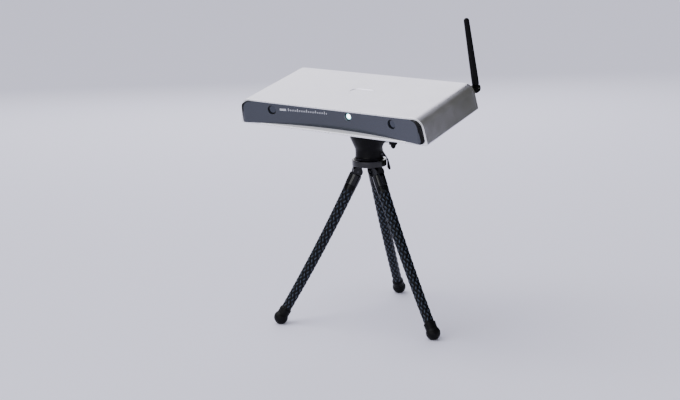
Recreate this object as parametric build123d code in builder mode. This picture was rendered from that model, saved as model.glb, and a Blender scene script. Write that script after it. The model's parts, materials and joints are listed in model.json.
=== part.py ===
from build123d import *
from math import asin, atan2, cos, degrees, radians, sin, sqrt, tan
import os

"""A structured-light 3-D scanner on a small tripod with bendable legs.

The scanner is a flat silver sleeve closed by a dark concave front panel and a rear cover. Behind the panel
two cameras and a projector sit on one curved bar, all aimed at the same point in front. A screw-on antenna
stands behind the rear cover. The scanner is screwed to a ball head, and the ball head turns on a hub with
three legs. The object stands on the floor plane Z = 0 and the scanner looks along -Y, a little downwards.
"""

os.makedirs("parts", exist_ok=True)

# ---------------------------------------------------------------- placing, millimetres and degrees
AXIS_X, AXIS_Y = 1.7, -15.4  # the tripod's upright axis in the row frame
PITCH, ROLL = 12.5, 1.5  # how far the ball head leans the scanner, nose down and right side down

# ---------------------------------------------------------------- tripod legs
FOOT_RING_R = 117.0  # feet, measured from the upright axis
FIRST_LEG = -16.0  # direction of leg 1; the others follow at 120 degrees
PIVOT_R, PIVOT_Z = 15.5, 193.5  # leg hinge pins
FOOT_R, FOOT_CUT = 9.0, 1.0  # rubber foot's ball, and the depth of its flat worn bottom
LEG_BOW = 3.0  # each end of a leg leans this much from its chord
SLEEVE_TOP_R, SLEEVE_END_R, CORE_R = 7.7, 6.5, 2.0  # leg's rubber sleeve, thinner at its foot, and the wire
SKIRT_R = SLEEVE_END_R + 1.1
FERRULE_R, FERRULE_EDGE = 8.0, 0.8
FERRULE_START, SLEEVE_START, SLEEVE_END = 3.5, 19.0, 198.0  # along the leg from its pin
SLEEVE_RINGS = 7
CORE_OVERLAP = 8.0  # the wire runs this far into the ferrule and into the foot
PIN_R, PIN_CLEAR = 1.5, 0.05
LUG_R, LUG_T = 5.6, 6.4  # the hub's lug inside a ferrule's fork
FORK_R, FORK_W, FORK_GAP, FORK_FLOOR = 6.2, 12.6, 7.0, 6.6  # round fork, its slot, and where the slot stops
PIN_L = 12.4

# ---------------------------------------------------------------- hub and pan bearing
HUB_R, HUB_BOTTOM, HUB_TOP = 17.5, 200.1, 209.0
COLLAR_R, COLLAR_BOTTOM, COLLAR_TOP, COLLAR_EDGE = 21.8, 200.5, 208.5, 1.2
BOLT_R, BOLT_HEAD_R, BOLT_HEAD_H, BOLT_TOP = 2.5, 4.5, 3.0, 218.0
RUNNING = 0.05  # radial clearance of a turning fit
LEVER_DIRECTION = 35.0  # the pan lever and the lock screw point this way
LEVER_PIN_X, LEVER_PIN_Z, LEVER_PIN_L, LEVER_W, LEVER_KNUCKLE_R = 15.8, 215.6, 12.6, 9.0, 3.0
LEVER_SIDE = [  # X and Z of the lever's outline, from the top of its outer face
    (17.6, 218.0), (20.6, 213.4), (24.5, 206.6), (26.9, 197.0), (26.3, 195.2), (24.4, 195.0),
    (22.5, 198.0), (22.5, 209.2), (20.4, 211.4), (16.0, 212.7),
]
LEVER_SLOT_X, LEVER_SLOT_LOW, LEVER_SLOT_TOP, LEVER_PLAY = 12.4, 209.0, 219.2, 0.3

# ---------------------------------------------------------------- ball head
CUP_FOOT_R, CUP_FOOT_Z, CUP_R, CUP_TOP = 19.5, 209.3, 24.0, 241.0
CUP_WAIST_R, CUP_WAIST_LOW, CUP_WAIST_TOP, CUP_FLARE_TOP = 17.4, 213.6, 219.5, 236.5
SCOOP_R, SCOOP_X, SCOOP_Z = 8.0, 24.6, 224.5  # finger relief above the lever
BALL_Z, BALL_R, BALL_CLEAR = 241.0, 13.0, 0.08
CAVITY_R, CAVITY_Z = 15.0, 224.0  # bore in the cup that takes the ball's seat
SEAT_BOTTOM, SEAT_TOP = 224.3, 238.5
RING_H, RING_TOP_R = 5.5, 17.5  # socket ring above the ball's middle
LOCK_Z, LOCK_R, LOCK_TIP = 231.0, 2.0, 15.6
WING_START, WING_END, WING_SPAN, WING_TIP_R, WING_T = 25.0, 35.5, 10.5, 2.6, 4.5
WING_BOSS_R = 4.8
STEM_R, PLATE_Z, PLATE_T, PLATE_R = 5.0, 22.0, 5.0, 21.0  # heights above the ball's centre
PAD_T, PAD_R = 1.5, 20.0
SEAT_GAP = 0.2  # free play between the pad and the scanner
SEAT_Z = PLATE_Z + PLATE_T + PAD_T + SEAT_GAP  # the scanner's underside
THREAD_R, THREAD_REACH = 3.175, 5.5  # 1/4 inch camera thread, and how far it goes into the scanner

# ---------------------------------------------------------------- scanner case
CASE_W, CASE_D, CASE_H = 272.0, 124.0, 33.0
WALL, FLARE, TOP_R, FOOT_EDGE_R, INNER_FOOT_R = 2.5, 9.0, 13.0, 2.5, 4.5
COVER_T, COVER_WALL, COVER_EDGE_R, COVER_LIP, LIP_T = 6.0, 2.5, 2.0, 4.0, 1.5
SLEEVE_L = CASE_D - COVER_T
BOSS_R, BOSS_START, SCREW_R = 4.0, 24.0, 1.25
BOSSES = [(-128.6, 6.4), (128.6, 6.4), (-112.0, 27.2), (112.0, 27.2)]  # X and Z of the screw bosses
THREAD_X, THREAD_Y = 2.5, 77.0  # tripod thread, from the case's middle and its front edge
INSERT_R, INSERT_FLANGE_R, INSERT_TOP = 5.5, 8.0, 7.2
MARK_X, MARK_Y, MARK_W, MARK_D, MARK_DEPTH = 10.0, 62.0, 34.0, 16.0, 0.5  # shallow recess on top

# ---------------------------------------------------------------- front panel and optics
PANEL_T, PANEL_FIT, PANEL_FLANGE = 3.0, 0.1, 8.0
PANEL_SINK, PANEL_PROUD, PANEL_HALF = 9.5, 3.5, 125.0  # recess in the middle, bulge near the ends
ARC_R = (PANEL_HALF**2 + (PANEL_SINK + PANEL_PROUD) ** 2) / (2 * (PANEL_SINK + PANEL_PROUD))
FOCUS_Y = PANEL_SINK - ARC_R  # every lens looks at this point on the middle plane
OPTIC_Z, CAMERA_X, PROJECTOR_X = 20.5, 87.0, 22.0
CAMERA_HOLE_R, CAMERA_BARREL_R, LENS_R = 5.75, 5.5, 4.9
PROJECTOR_HOLE_R, PROJECTOR_BARREL_R, PROJECTOR_LENS_R = 4.6, 4.4, 3.8
BARREL_SINK, LENS_SINK, LENS_T = 1.2, 2.2, 2.0  # barrels and glasses stand this far behind the panel's face
BAR_NEAR, BAR_FAR, BAR_HALF, BAR_TOP = 9.0, 13.0, 108.0, 28.0
HOLDER_L, HOLDER_W = 7.0, 16.0
CAMERA_BOARD_T, CAMERA_BOARD_W, CAMERA_BOARD_H = 1.2, 22.0, 20.0
ENGINE_L, ENGINE_W, ENGINE_LOW, ENGINE_H = 28.0, 30.0, 8.0, 20.0
SINK_BASE, SINK_FIN_L, SINK_FIN_T, SINK_PITCH = 3.0, 12.0, 1.2, 3.6

# ---------------------------------------------------------------- electronics and rear
TRAY_T, TRAY_W, TRAY_FRONT, TRAY_BACK = 1.5, 226.0, 26.0, 112.0
TRAY_TOP = WALL + TRAY_T
BOARD_Z, BOARD_T = 8.0, 1.6  # underside and thickness of the main board
BOARD_LEFT, BOARD_RIGHT, BOARD_FRONT, BOARD_BACK = -110.0, -8.0, 38.0, 110.0
BOARD_SCREWS = [(x, y) for x in (-105.0, -13.0) for y in (43.0, 100.0)]
BOARD_TOP = BOARD_Z + BOARD_T
CHIP_X, CHIP_Y, SPREADER_W, SPREADER_H = -62.0, 64.0, 36.0, 9.0
PORT_Z = 16.0  # height of the round ports
ANTENNA_X, ANTENNA_Z = 124.2, 20.5
PORT_FACE = CASE_D - 0.6  # mouths of the ports
ETHERNET_X, USB_X, DC_X, BUTTON_X = -52.0, -26.0, -98.0, -77.0
ETHERNET_W, ETHERNET_H, ETHERNET_L = 16.0, 13.6, 21.0
USB_W, USB_H, USB_L = 12.0, 11.0, 16.0
DC_R, DC_L, DC_PIN_R = 4.2, 13.0, 1.0
BUTTON_R, BUTTON_PROUD, BUTTON_TRAVEL = 5.0, 0.8, 1.0
VENT_W, VENT_H, VENT_PITCH, VENT_COUNT, VENT_X = 3.0, 15.0, 7.5, 11, 59.0
BLOWER_X, BLOWER_Y, BLOWER_W, BLOWER_H, BLOWER_T = 84.0, 76.0, 44.0, 14.0, 1.2
ROTOR_R, ROTOR_HUB_R, ROTOR_BLADES, AXLE_R = 18.5, 9.0, 17, 1.5
JACK_R, JACK_END, JACK_FLANGE_R, JACK_NUT_R = 3.1, CASE_D + 8.0, 4.0, 4.6
ANTENNA_HINGE_Y = CASE_D + 17.0
ANTENNA_L, WHIP_BASE_R, WHIP_TIP_R = 88.5, 4.4, 3.4  # hinge pin to tip
ANTENNA_LEAN = -4.0  # the whip leans this much to the left of the case's upright
COUPLING_R, EAR_R, EAR_GAP, EAR_T = 4.6, 4.2, 4.6, 1.9
JACK_TAIL, ANTENNA_PIN_R = CASE_D - 8.0, 1.1
SCREW_HEAD_R, SCREW_HEAD_H = 2.7, 1.8
BAR_SCREWS = [(-55.0, 32.0), (55.0, 32.0)]  # X and Y of the screws through the optics bar's feet
BAR_FOOT_T = 4.0

# ---------------------------------------------------------------- cables inside the case
CAMERA_CABLE_R, ANTENNA_LEAD_R, CAMERA_CABLE_Z = 1.3, 0.7, 12.0
CAMERA_SOCKET_T, CABLE_SOCKET_H = 2.6, 5.0
CABLE_ENDS = [(-86.0, 46.0), (-14.0, 72.0), (-14.0, 88.0)]  # sockets on the main board
CAMERA_ROUTES = {  # after the first straight run out of the camera board's socket
    "left": [(-86.0, 37.0, 12.0), (-86.0, 42.5, 12.0)],
    "right": [
        (82.0, 43.0, 12.0), (66.0, 50.0, 12.0), (48.0, 59.0, 12.0),
        (42.0, 71.0, 12.0), (28.0, 79.0, 12.0), (8.0, 72.0, 12.0), (-10.5, 72.0, 12.0),
    ],
}
ANTENNA_ROUTE = [
    (124.2, 116.0, 20.5), (124.2, 109.5, 20.5), (116.0, 105.0, 15.0), (104.0, 105.0, 11.0), (84.0, 104.0, 9.6),
    (62.0, 103.0, 9.6), (40.0, 101.0, 10.4), (18.0, 88.0, 12.0), (-10.5, 88.0, 12.0),
]

STAND = Plane((AXIS_X, AXIS_Y, 0))
BALL = Plane(Location((AXIS_X, AXIS_Y, BALL_Z), (PITCH, ROLL, 0)))
CASE = Plane(BALL.location * Location((-THREAD_X, -THREAD_Y, SEAT_Z)))
LEGS = [
    Plane(STAND.location * Location((0, 0, 0), (0, 0, FIRST_LEG + 120 * k)) * Location((PIVOT_R, 0, PIVOT_Z)))
    for k in range(3)
]
LEVER = Plane(STAND.location * Location((0, 0, 0), (0, 0, LEVER_DIRECTION)))
ANTENNA = Plane(CASE.location * Location((ANTENNA_X, ANTENNA_HINGE_Y, ANTENNA_Z), (0, ANTENNA_LEAN, 0)))

UPRIGHT = (Align.CENTER, Align.CENTER, Align.MIN)  # a solid that stands on its place


def write(part, label, frame=Plane.XY):
    """Sets a finished piece at its frame, labels it and writes it."""
    placed = part.moved(frame.location)
    placed.label = label
    export_step(placed, f"parts/{label}.step")


# ================================================================ tripod legs
CHORD_X, CHORD_Z = FOOT_RING_R - PIVOT_R, PIVOT_Z - (FOOT_R - FOOT_CUT)
CHORD = sqrt(CHORD_X**2 + CHORD_Z**2)
LEG_ARC_R = CHORD / (2 * sin(radians(LEG_BOW)))
LEG_LENGTH = LEG_ARC_R * radians(2 * LEG_BOW)
LEG_START_LEAN = degrees(atan2(CHORD_X, CHORD_Z)) - LEG_BOW  # from straight down, at the pin


def leg_lean(s):
    """The leg's angle from straight down, s millimetres from its pin."""
    return radians(LEG_START_LEAN) + s / LEG_ARC_R


def leg_point(s):
    """The leg's middle line is an arc in the XZ plane that starts at the pin."""
    start, here = leg_lean(0), leg_lean(s)
    return (LEG_ARC_R * (cos(start) - cos(here)), 0, -LEG_ARC_R * (sin(here) - sin(start)))


def leg_plane(s):
    """A plane across the leg, its Z pointing down along the leg."""
    lean = leg_lean(s)
    return Plane(leg_point(s), x_dir=(0, 1, 0), z_dir=(sin(lean), 0, -cos(lean)))


def leg_tube(first, last, radius):
    """A round bar that follows the leg's arc between two distances from the pin."""
    with BuildPart() as tube:
        with BuildLine():
            ThreePointArc(leg_point(first), leg_point((first + last) / 2), leg_point(last))
        with BuildSketch(leg_plane(first)):
            Circle(radius)
        sweep()
    return tube.part


def leg_sleeve():
    """The rubber sleeve: cones between rings on the leg's arc, so that it thins towards the foot."""
    with BuildPart() as sleeve:
        for step in range(SLEEVE_RINGS):
            share = step / (SLEEVE_RINGS - 1)
            with BuildSketch(leg_plane(SLEEVE_START + (SLEEVE_END - SLEEVE_START) * share)):
                Circle(SLEEVE_TOP_R + (SLEEVE_END_R - SLEEVE_TOP_R) * share)
        loft(ruled=True)
        add(leg_tube(SLEEVE_START, SLEEVE_END, CORE_R), mode=Mode.SUBTRACT)
    return sleeve.part


def leg_ferrule():
    """The metal end of a leg: a fork over the hub's lug and a socket for the wire."""
    with BuildPart() as ferrule:
        with BuildSketch(leg_plane(SLEEVE_START)):
            Circle(FERRULE_R)
        extrude(amount=FERRULE_START - SLEEVE_START)
        chamfer(ferrule.edges().filter_by(GeomType.CIRCLE), FERRULE_EDGE)
        Cylinder(FORK_R, FORK_W, rotation=(90, 0, 0))
        with BuildSketch(leg_plane(FORK_FLOOR)):
            Rectangle(FORK_GAP, 2 * FERRULE_R + 2)
        extrude(amount=-(FORK_FLOOR + FORK_R + 4), mode=Mode.SUBTRACT)
        Cylinder(PIN_R + PIN_CLEAR, 2 * FERRULE_R + 2, rotation=(90, 0, 0), mode=Mode.SUBTRACT)
        with BuildSketch(leg_plane(SLEEVE_START)):
            Circle(CORE_R)
        extrude(amount=-CORE_OVERLAP, mode=Mode.SUBTRACT)
    return ferrule.part


def leg_foot():
    """A rubber cap on the leg's end: a short skirt, a ball, and a flat where it stands."""
    with BuildPart() as foot:
        with BuildSketch(leg_plane(SLEEVE_END)):
            Circle(SKIRT_R)
        extrude(amount=LEG_LENGTH - SLEEVE_END)
        with Locations(leg_point(LEG_LENGTH)):
            Sphere(FOOT_R)
        with BuildSketch(leg_plane(SLEEVE_END)):
            Circle(CORE_R + 0.1)
        extrude(amount=CORE_OVERLAP + 0.3, mode=Mode.SUBTRACT)
        split(bisect_by=Plane.XY.offset(-PIVOT_Z), keep=Keep.TOP)
    return foot.part


for number, leg_frame in enumerate(LEGS, start=1):
    write(leg_ferrule(), f"leg_ferrule_{number}", leg_frame)
    write(leg_sleeve(), f"leg_sleeve_{number}", leg_frame)
    core = leg_tube(SLEEVE_START - CORE_OVERLAP, SLEEVE_END + CORE_OVERLAP, CORE_R)
    write(core, f"leg_core_{number}", leg_frame)
    write(leg_foot(), f"leg_foot_{number}", leg_frame)

# ================================================================ hub
with BuildPart() as hub:
    with BuildSketch(Plane.XY.offset(HUB_BOTTOM)):
        Circle(HUB_R)
    extrude(amount=HUB_TOP - HUB_BOTTOM)
    with Locations((0, 0, PIVOT_Z)):
        with PolarLocations(PIVOT_R, 3, FIRST_LEG):
            Cylinder(LUG_R, LUG_T, rotation=(90, 0, 0))
            Box(2 * LUG_R, LUG_T, HUB_BOTTOM - PIVOT_Z + 0.2, align=UPRIGHT)
            Cylinder(PIN_R, 2 * LUG_T, rotation=(90, 0, 0), mode=Mode.SUBTRACT)
    with Locations(Plane((0, 0, HUB_BOTTOM), z_dir=(0, 0, -1))):
        CounterBoreHole(BOLT_R + RUNNING, BOLT_HEAD_R + 0.3, BOLT_HEAD_H + 0.5, HUB_TOP - HUB_BOTTOM)
write(hub.part, "hub", STAND)

with BuildPart() as leg_pins:
    with Locations((0, 0, PIVOT_Z)):
        with PolarLocations(PIVOT_R, 3, FIRST_LEG):
            Cylinder(PIN_R, PIN_L, rotation=(90, 0, 0))
write(leg_pins.part, "leg_pins", STAND)

with BuildPart() as hub_collar:
    with BuildSketch(Plane.XY.offset(COLLAR_BOTTOM)):
        Circle(COLLAR_R)
        Circle(HUB_R, mode=Mode.SUBTRACT)
    extrude(amount=COLLAR_TOP - COLLAR_BOTTOM)
    fillet(hub_collar.edges().filter_by(GeomType.CIRCLE).group_by(SortBy.RADIUS)[-1], COLLAR_EDGE)
write(hub_collar.part, "hub_collar", STAND)

# ================================================================ ball head
with BuildPart() as head_cup:
    with BuildSketch(Plane.XZ):
        with BuildLine():
            foot_line = Line((0, CUP_FOOT_Z), (CUP_FOOT_R, CUP_FOOT_Z))
            neck = ThreePointArc(foot_line @ 1, (CUP_WAIST_R + 0.6, 211.0), (CUP_WAIST_R, CUP_WAIST_LOW))
            waist = Line(neck @ 1, (CUP_WAIST_R, CUP_WAIST_TOP))
            shoulder = TangentArc(waist @ 1, (CUP_WAIST_R + 1.6, 225.0), tangent=(0, 1))
            flare = Line(shoulder @ 1, (CUP_R, CUP_FLARE_TOP))
            wall_line = Line(flare @ 1, (CUP_R, CUP_TOP))
            Polyline(wall_line @ 1, (0, CUP_TOP), foot_line @ 0)
        make_face()
    revolve(axis=Axis.Z)
    with Locations((0, 0, CUP_TOP)):
        CounterBoreHole(BOLT_R, CAVITY_R, CUP_TOP - CAVITY_Z, CUP_TOP)
    with BuildSketch(Plane.XZ.rotated((0, 0, LEVER_DIRECTION))):  # slot for the pan lever's knuckle
        with Locations((LEVER_SLOT_X, LEVER_SLOT_LOW)):
            Rectangle(CUP_R, LEVER_SLOT_TOP - LEVER_SLOT_LOW, align=Align.MIN)
    extrude(amount=LEVER_W / 2 + LEVER_PLAY, both=True, mode=Mode.SUBTRACT)
    with BuildSketch(Plane.XZ.rotated((0, 0, LEVER_DIRECTION))):
        with Locations((LEVER_PIN_X, LEVER_PIN_Z)):
            Circle(PIN_R)
    extrude(amount=CUP_R, both=True, mode=Mode.SUBTRACT)
    with BuildSketch(Plane.XZ.rotated((0, 0, LEVER_DIRECTION))):
        with Locations((SCOOP_X, SCOOP_Z)):
            Circle(SCOOP_R)
    extrude(amount=CUP_R, both=True, mode=Mode.SUBTRACT)
    with BuildSketch(Plane.YZ.rotated((0, 0, LEVER_DIRECTION))):
        with Locations((0, LOCK_Z)):
            Circle(LOCK_R + RUNNING)
    extrude(amount=CUP_R + 2, mode=Mode.SUBTRACT)
write(head_cup.part, "head_cup", STAND)

with BuildPart() as pan_bolt:
    with BuildSketch(Plane.XY.offset(HUB_BOTTOM + 0.5)):
        Circle(BOLT_HEAD_R)
    extrude(amount=BOLT_HEAD_H - 0.3)
    with BuildSketch(Plane.XY.offset(HUB_BOTTOM + 0.5)):
        Circle(BOLT_R)
    extrude(amount=BOLT_TOP - HUB_BOTTOM - 0.5)
    with BuildSketch(Plane.XY.offset(HUB_BOTTOM + 0.5)):
        RegularPolygon(2.0, 6)
    extrude(amount=1.8, mode=Mode.SUBTRACT)
write(pan_bolt.part, "pan_bolt", STAND)

with BuildPart() as pan_lever:
    with BuildSketch(Plane.XZ):
        with BuildLine():
            Polyline(*LEVER_SIDE, close=True)
        make_face()
        with Locations((LEVER_PIN_X, LEVER_PIN_Z)):
            Circle(LEVER_KNUCKLE_R)
    extrude(amount=LEVER_W / 2, both=True)
    fillet(pan_lever.edges().filter_by(Axis.Y).sort_by(Axis.Z)[0:2], 0.8)
    with BuildSketch(Plane.XZ):
        with Locations((LEVER_PIN_X, LEVER_PIN_Z)):
            Circle(PIN_R + RUNNING)
    extrude(amount=LEVER_W, both=True, mode=Mode.SUBTRACT)
write(pan_lever.part, "pan_lever", LEVER)

with BuildPart() as lever_pin:
    with Locations((LEVER_PIN_X, 0, LEVER_PIN_Z)):
        Cylinder(PIN_R, LEVER_PIN_L, rotation=(90, 0, 0))
write(lever_pin.part, "lever_pin", LEVER)

with BuildPart() as ball_seat:
    with BuildSketch(Plane.XY.offset(SEAT_BOTTOM)):
        Circle(CAVITY_R - 0.1)
        Circle(4.0, mode=Mode.SUBTRACT)
    extrude(amount=SEAT_TOP - SEAT_BOTTOM)
    with Locations((0, 0, BALL_Z)):
        Sphere(BALL_R + BALL_CLEAR, mode=Mode.SUBTRACT)
write(ball_seat.part, "ball_seat", STAND)

with BuildPart() as socket_ring:
    with BuildSketch(Plane.XZ):
        with BuildLine():
            Polyline(
                (12.0, CUP_TOP), (CUP_R - 1.2, CUP_TOP), (CUP_R - 1.2, CUP_TOP + 2.0),
                (RING_TOP_R, CUP_TOP + RING_H), (12.0, CUP_TOP + RING_H), close=True,
            )
        make_face()
    revolve(axis=Axis.Z)
    with Locations((0, 0, BALL_Z)):
        Sphere(BALL_R + BALL_CLEAR, mode=Mode.SUBTRACT)
        Cone(10.4, 16.4, RING_H + 0.1, align=UPRIGHT, mode=Mode.SUBTRACT)
write(socket_ring.part, "socket_ring", STAND)

with BuildPart() as lock_screw:
    with BuildSketch(Plane.YZ.offset(LOCK_TIP)):
        with Locations((0, LOCK_Z)):
            Circle(LOCK_R)
    extrude(amount=WING_END - 3 - LOCK_TIP)
    chamfer(lock_screw.edges().group_by(Axis.X)[0], 0.5)
write(lock_screw.part, "lock_screw", LEVER)

with BuildPart() as lock_wing:
    with BuildSketch(Plane.YZ.offset(WING_START)):
        with Locations((0, LOCK_Z)):
            Circle(WING_BOSS_R)
    extrude(amount=WING_END - WING_START)
    fillet(lock_wing.edges().group_by(Axis.X)[-1], 1.5)
    with BuildSketch(Plane.XZ):
        with BuildLine():
            middle = (WING_START + WING_END) / 2
            Polyline(
                (WING_START, LOCK_Z), (middle - WING_TIP_R, LOCK_Z - WING_SPAN + WING_TIP_R),
                (middle, LOCK_Z - WING_SPAN), (middle + WING_TIP_R, LOCK_Z - WING_SPAN + WING_TIP_R),
                (WING_END, LOCK_Z), (middle + WING_TIP_R, LOCK_Z + WING_SPAN - WING_TIP_R),
                (middle, LOCK_Z + WING_SPAN), (middle - WING_TIP_R, LOCK_Z + WING_SPAN - WING_TIP_R),
                close=True,
            )
        wing_face = make_face()
        fillet(wing_face.vertices().group_by(Axis.Y)[0] + wing_face.vertices().group_by(Axis.Y)[-1], 2.0)
    extrude(amount=WING_T / 2, both=True)
    with BuildSketch(Plane.YZ.offset(WING_START)):
        with Locations((0, LOCK_Z)):
            Circle(LOCK_R)
    extrude(amount=WING_END - 3 - WING_START, mode=Mode.SUBTRACT)
write(lock_wing.part, "lock_wing", LEVER)

with BuildPart() as ball_stem:
    Sphere(BALL_R)
    with BuildSketch():
        Circle(STEM_R)
    extrude(amount=PLATE_Z)
    with BuildSketch(Plane.XY.offset(PLATE_Z)):
        Circle(THREAD_R)
    extrude(amount=-8, mode=Mode.SUBTRACT)
write(ball_stem.part, "ball_stem", BALL)

with BuildPart() as mount_plate:
    with BuildSketch(Plane.XY.offset(PLATE_Z)):
        Circle(PLATE_R)
        Circle(THREAD_R, mode=Mode.SUBTRACT)
    extrude(amount=PLATE_T)
    with BuildSketch(Plane.XY.offset(PLATE_Z)):
        with PolarLocations(PLATE_R + 0.6, 24):
            Circle(1.4)
    extrude(amount=PLATE_T, mode=Mode.SUBTRACT)
write(mount_plate.part, "mount_plate", BALL)

with BuildPart() as plate_pad:
    with BuildSketch(Plane.XY.offset(PLATE_Z + PLATE_T)):
        Circle(PAD_R)
        Circle(THREAD_R, mode=Mode.SUBTRACT)
    extrude(amount=PAD_T)
write(plate_pad.part, "plate_pad", BALL)

with BuildPart() as mount_stud:
    with BuildSketch(Plane.XY.offset(PLATE_Z - 8)):
        Circle(THREAD_R)
    extrude(amount=SEAT_Z + THREAD_REACH - PLATE_Z + 8)
    chamfer(mount_stud.edges().group_by(Axis.Z)[-1], 0.6)
write(mount_stud.part, "mount_stud", BALL)


# ================================================================ scanner case
def case_section(inset=0.0, depth=0.0):
    """The case's cross-section at a depth behind the front edge: a wide foot and round upper corners."""
    lean = CASE_H * tan(radians(FLARE))
    half = CASE_W / 2
    with BuildSketch(Plane.XZ.offset(-depth)) as section:
        with BuildLine():
            Polyline((-half, 0), (half, 0), (half - lean, CASE_H), (-half + lean, CASE_H), close=True)
        make_face()
        fillet(section.vertices().group_by(Axis.Y)[-1], TOP_R)
        fillet(section.vertices().group_by(Axis.Y)[0], FOOT_EDGE_R)
        if inset:
            offset(amount=-inset)
            fillet(section.vertices().group_by(Axis.Y)[0], INNER_FOOT_R)
    return section.sketch


def face_y(x, back=0.0):
    """The front panel's face, or a surface parallel to it, is an arc about the focus."""
    return FOCUS_Y + sqrt((ARC_R + back) ** 2 - x**2)


def aimed(x, back, z=OPTIC_Z):
    """A plane behind the panel's face at x that faces the focus."""
    turn = asin(x / ARC_R)
    reach = ARC_R + back
    return Plane(
        (reach * sin(turn), FOCUS_Y + reach * cos(turn), z),
        x_dir=(cos(turn), -sin(turn), 0),
        z_dir=(-sin(turn), -cos(turn), 0),
    )


OPTICS = {"left": -CAMERA_X, "right": CAMERA_X}

with BuildPart() as case_sleeve:
    extrude(case_section(), amount=-SLEEVE_L)
    extrude(case_section(WALL), amount=-SLEEVE_L, mode=Mode.SUBTRACT)
    with BuildSketch(Plane.XZ.offset(-BOSS_START)):
        with Locations(*BOSSES):
            Circle(BOSS_R)
            Circle(SCREW_R, mode=Mode.SUBTRACT)
    extrude(amount=-(SLEEVE_L - COVER_LIP - BOSS_START - 0.5))
    with Locations((THREAD_X, THREAD_Y, 0)):
        Cylinder(INSERT_R, 3 * WALL, mode=Mode.SUBTRACT)
    with BuildSketch(Plane.XY.offset(CASE_H)):
        with Locations((MARK_X, MARK_Y)):
            SlotOverall(MARK_W, MARK_D)
    extrude(amount=-MARK_DEPTH, mode=Mode.SUBTRACT)
write(case_sleeve.part, "case_sleeve", CASE)

with BuildPart() as tripod_insert:
    with BuildSketch():
        with Locations((THREAD_X, THREAD_Y)):
            Circle(INSERT_R)
    extrude(amount=INSERT_TOP)
    with BuildSketch(Plane.XY.offset(WALL)):
        with Locations((THREAD_X, THREAD_Y)):
            Circle(INSERT_FLANGE_R)
    extrude(amount=2.0)
    with BuildSketch():
        with Locations((THREAD_X, THREAD_Y)):
            Circle(THREAD_R + RUNNING)
    extrude(amount=INSERT_TOP - 1.0, mode=Mode.SUBTRACT)
write(tripod_insert.part, "tripod_insert", CASE)

with BuildPart() as front_panel:
    with BuildSketch():
        with BuildLine():
            end_x = CASE_W / 2 - WALL
            edge_y = face_y(PANEL_HALF)
            along = (cos(asin(PANEL_HALF / ARC_R)), -PANEL_HALF / ARC_R)
            face_line = ThreePointArc((-PANEL_HALF, edge_y), (0, PANEL_SINK), (PANEL_HALF, edge_y))
            TangentArc(face_line @ 1, (end_x, 4.0), tangent=along)
            TangentArc(face_line @ 0, (-end_x, 4.0), tangent=(-along[0], along[1]))
            Polyline((end_x, 4.0), (end_x, PANEL_FLANGE), (end_x - PANEL_T - 3.0, PANEL_FLANGE))
            Polyline((-end_x, 4.0), (-end_x, PANEL_FLANGE), (-end_x + PANEL_T + 3.0, PANEL_FLANGE))
            back_x, back_y = PANEL_HALF, face_y(PANEL_HALF, PANEL_T)
            Line((end_x - PANEL_T - 3.0, PANEL_FLANGE), (back_x, back_y + 1.0))
            Line((-end_x + PANEL_T + 3.0, PANEL_FLANGE), (-back_x, back_y + 1.0))
            ThreePointArc((-back_x, back_y + 1.0), (0, PANEL_SINK + PANEL_T), (back_x, back_y + 1.0))
        make_face()
    extrude(amount=CASE_H)
    extrude(case_section(WALL + PANEL_FIT), amount=30, both=True, mode=Mode.INTERSECT)
    for x in OPTICS.values():
        with BuildSketch(aimed(x, 0)):
            Circle(CAMERA_HOLE_R)
        extrude(amount=8, both=True, mode=Mode.SUBTRACT)
    with BuildSketch(aimed(PROJECTOR_X, 0)):
        Circle(PROJECTOR_HOLE_R)
    extrude(amount=8, both=True, mode=Mode.SUBTRACT)
write(front_panel.part, "front_panel", CASE)

REAR_CUTS = [
    (ETHERNET_X, BOARD_TOP + ETHERNET_H / 2, ETHERNET_W + 0.4, ETHERNET_H + 0.4),
    (USB_X, BOARD_TOP + USB_H / 2, USB_W + 0.4, USB_H + 0.4),
]

with BuildPart() as rear_cover:
    extrude(case_section(depth=SLEEVE_L), amount=-COVER_T)
    fillet(rear_cover.faces().sort_by(Axis.Y)[-1].edges(), COVER_EDGE_R)
    extrude(case_section(WALL + PANEL_FIT, SLEEVE_L - COVER_LIP), amount=-COVER_LIP)
    extrude(
        case_section(WALL + PANEL_FIT + LIP_T, SLEEVE_L - COVER_LIP),
        amount=-(COVER_LIP + COVER_T - COVER_WALL),
        mode=Mode.SUBTRACT,
    )
    with BuildSketch(Plane.XZ.offset(-(SLEEVE_L - COVER_LIP))):  # posts for the corner screws
        with Locations(*BOSSES):
            Circle(BOSS_R - 0.8)
    extrude(amount=-(COVER_LIP + COVER_T - COVER_WALL))
    with BuildSketch(Plane.XZ.offset(-(SLEEVE_L - COVER_LIP))):
        with Locations(*BOSSES):
            Circle(SCREW_R)
    extrude(amount=-(COVER_LIP + COVER_T), mode=Mode.SUBTRACT)
    with BuildSketch(Plane.XZ.offset(-CASE_D)):
        with Locations(*BOSSES):
            Circle(SCREW_HEAD_R)
    extrude(amount=SCREW_HEAD_H, mode=Mode.SUBTRACT)
    with BuildSketch(Plane.XZ.offset(-CASE_D)):
        for x, z, width, height in REAR_CUTS:
            with Locations((x, z)):
                Rectangle(width, height)
        with Locations((DC_X, PORT_Z)):
            Circle(DC_R + 0.2)
        with Locations((BUTTON_X, PORT_Z)):
            Circle(BUTTON_R + 0.2)
        with Locations((ANTENNA_X, ANTENNA_Z)):
            Circle(JACK_R)
        with Locations((VENT_X, PORT_Z)):
            with GridLocations(VENT_PITCH, 1, VENT_COUNT, 1):
                SlotOverall(VENT_H, VENT_W, rotation=90)
    extrude(amount=COVER_T, mode=Mode.SUBTRACT)
write(rear_cover.part, "rear_cover", CASE)

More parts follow.
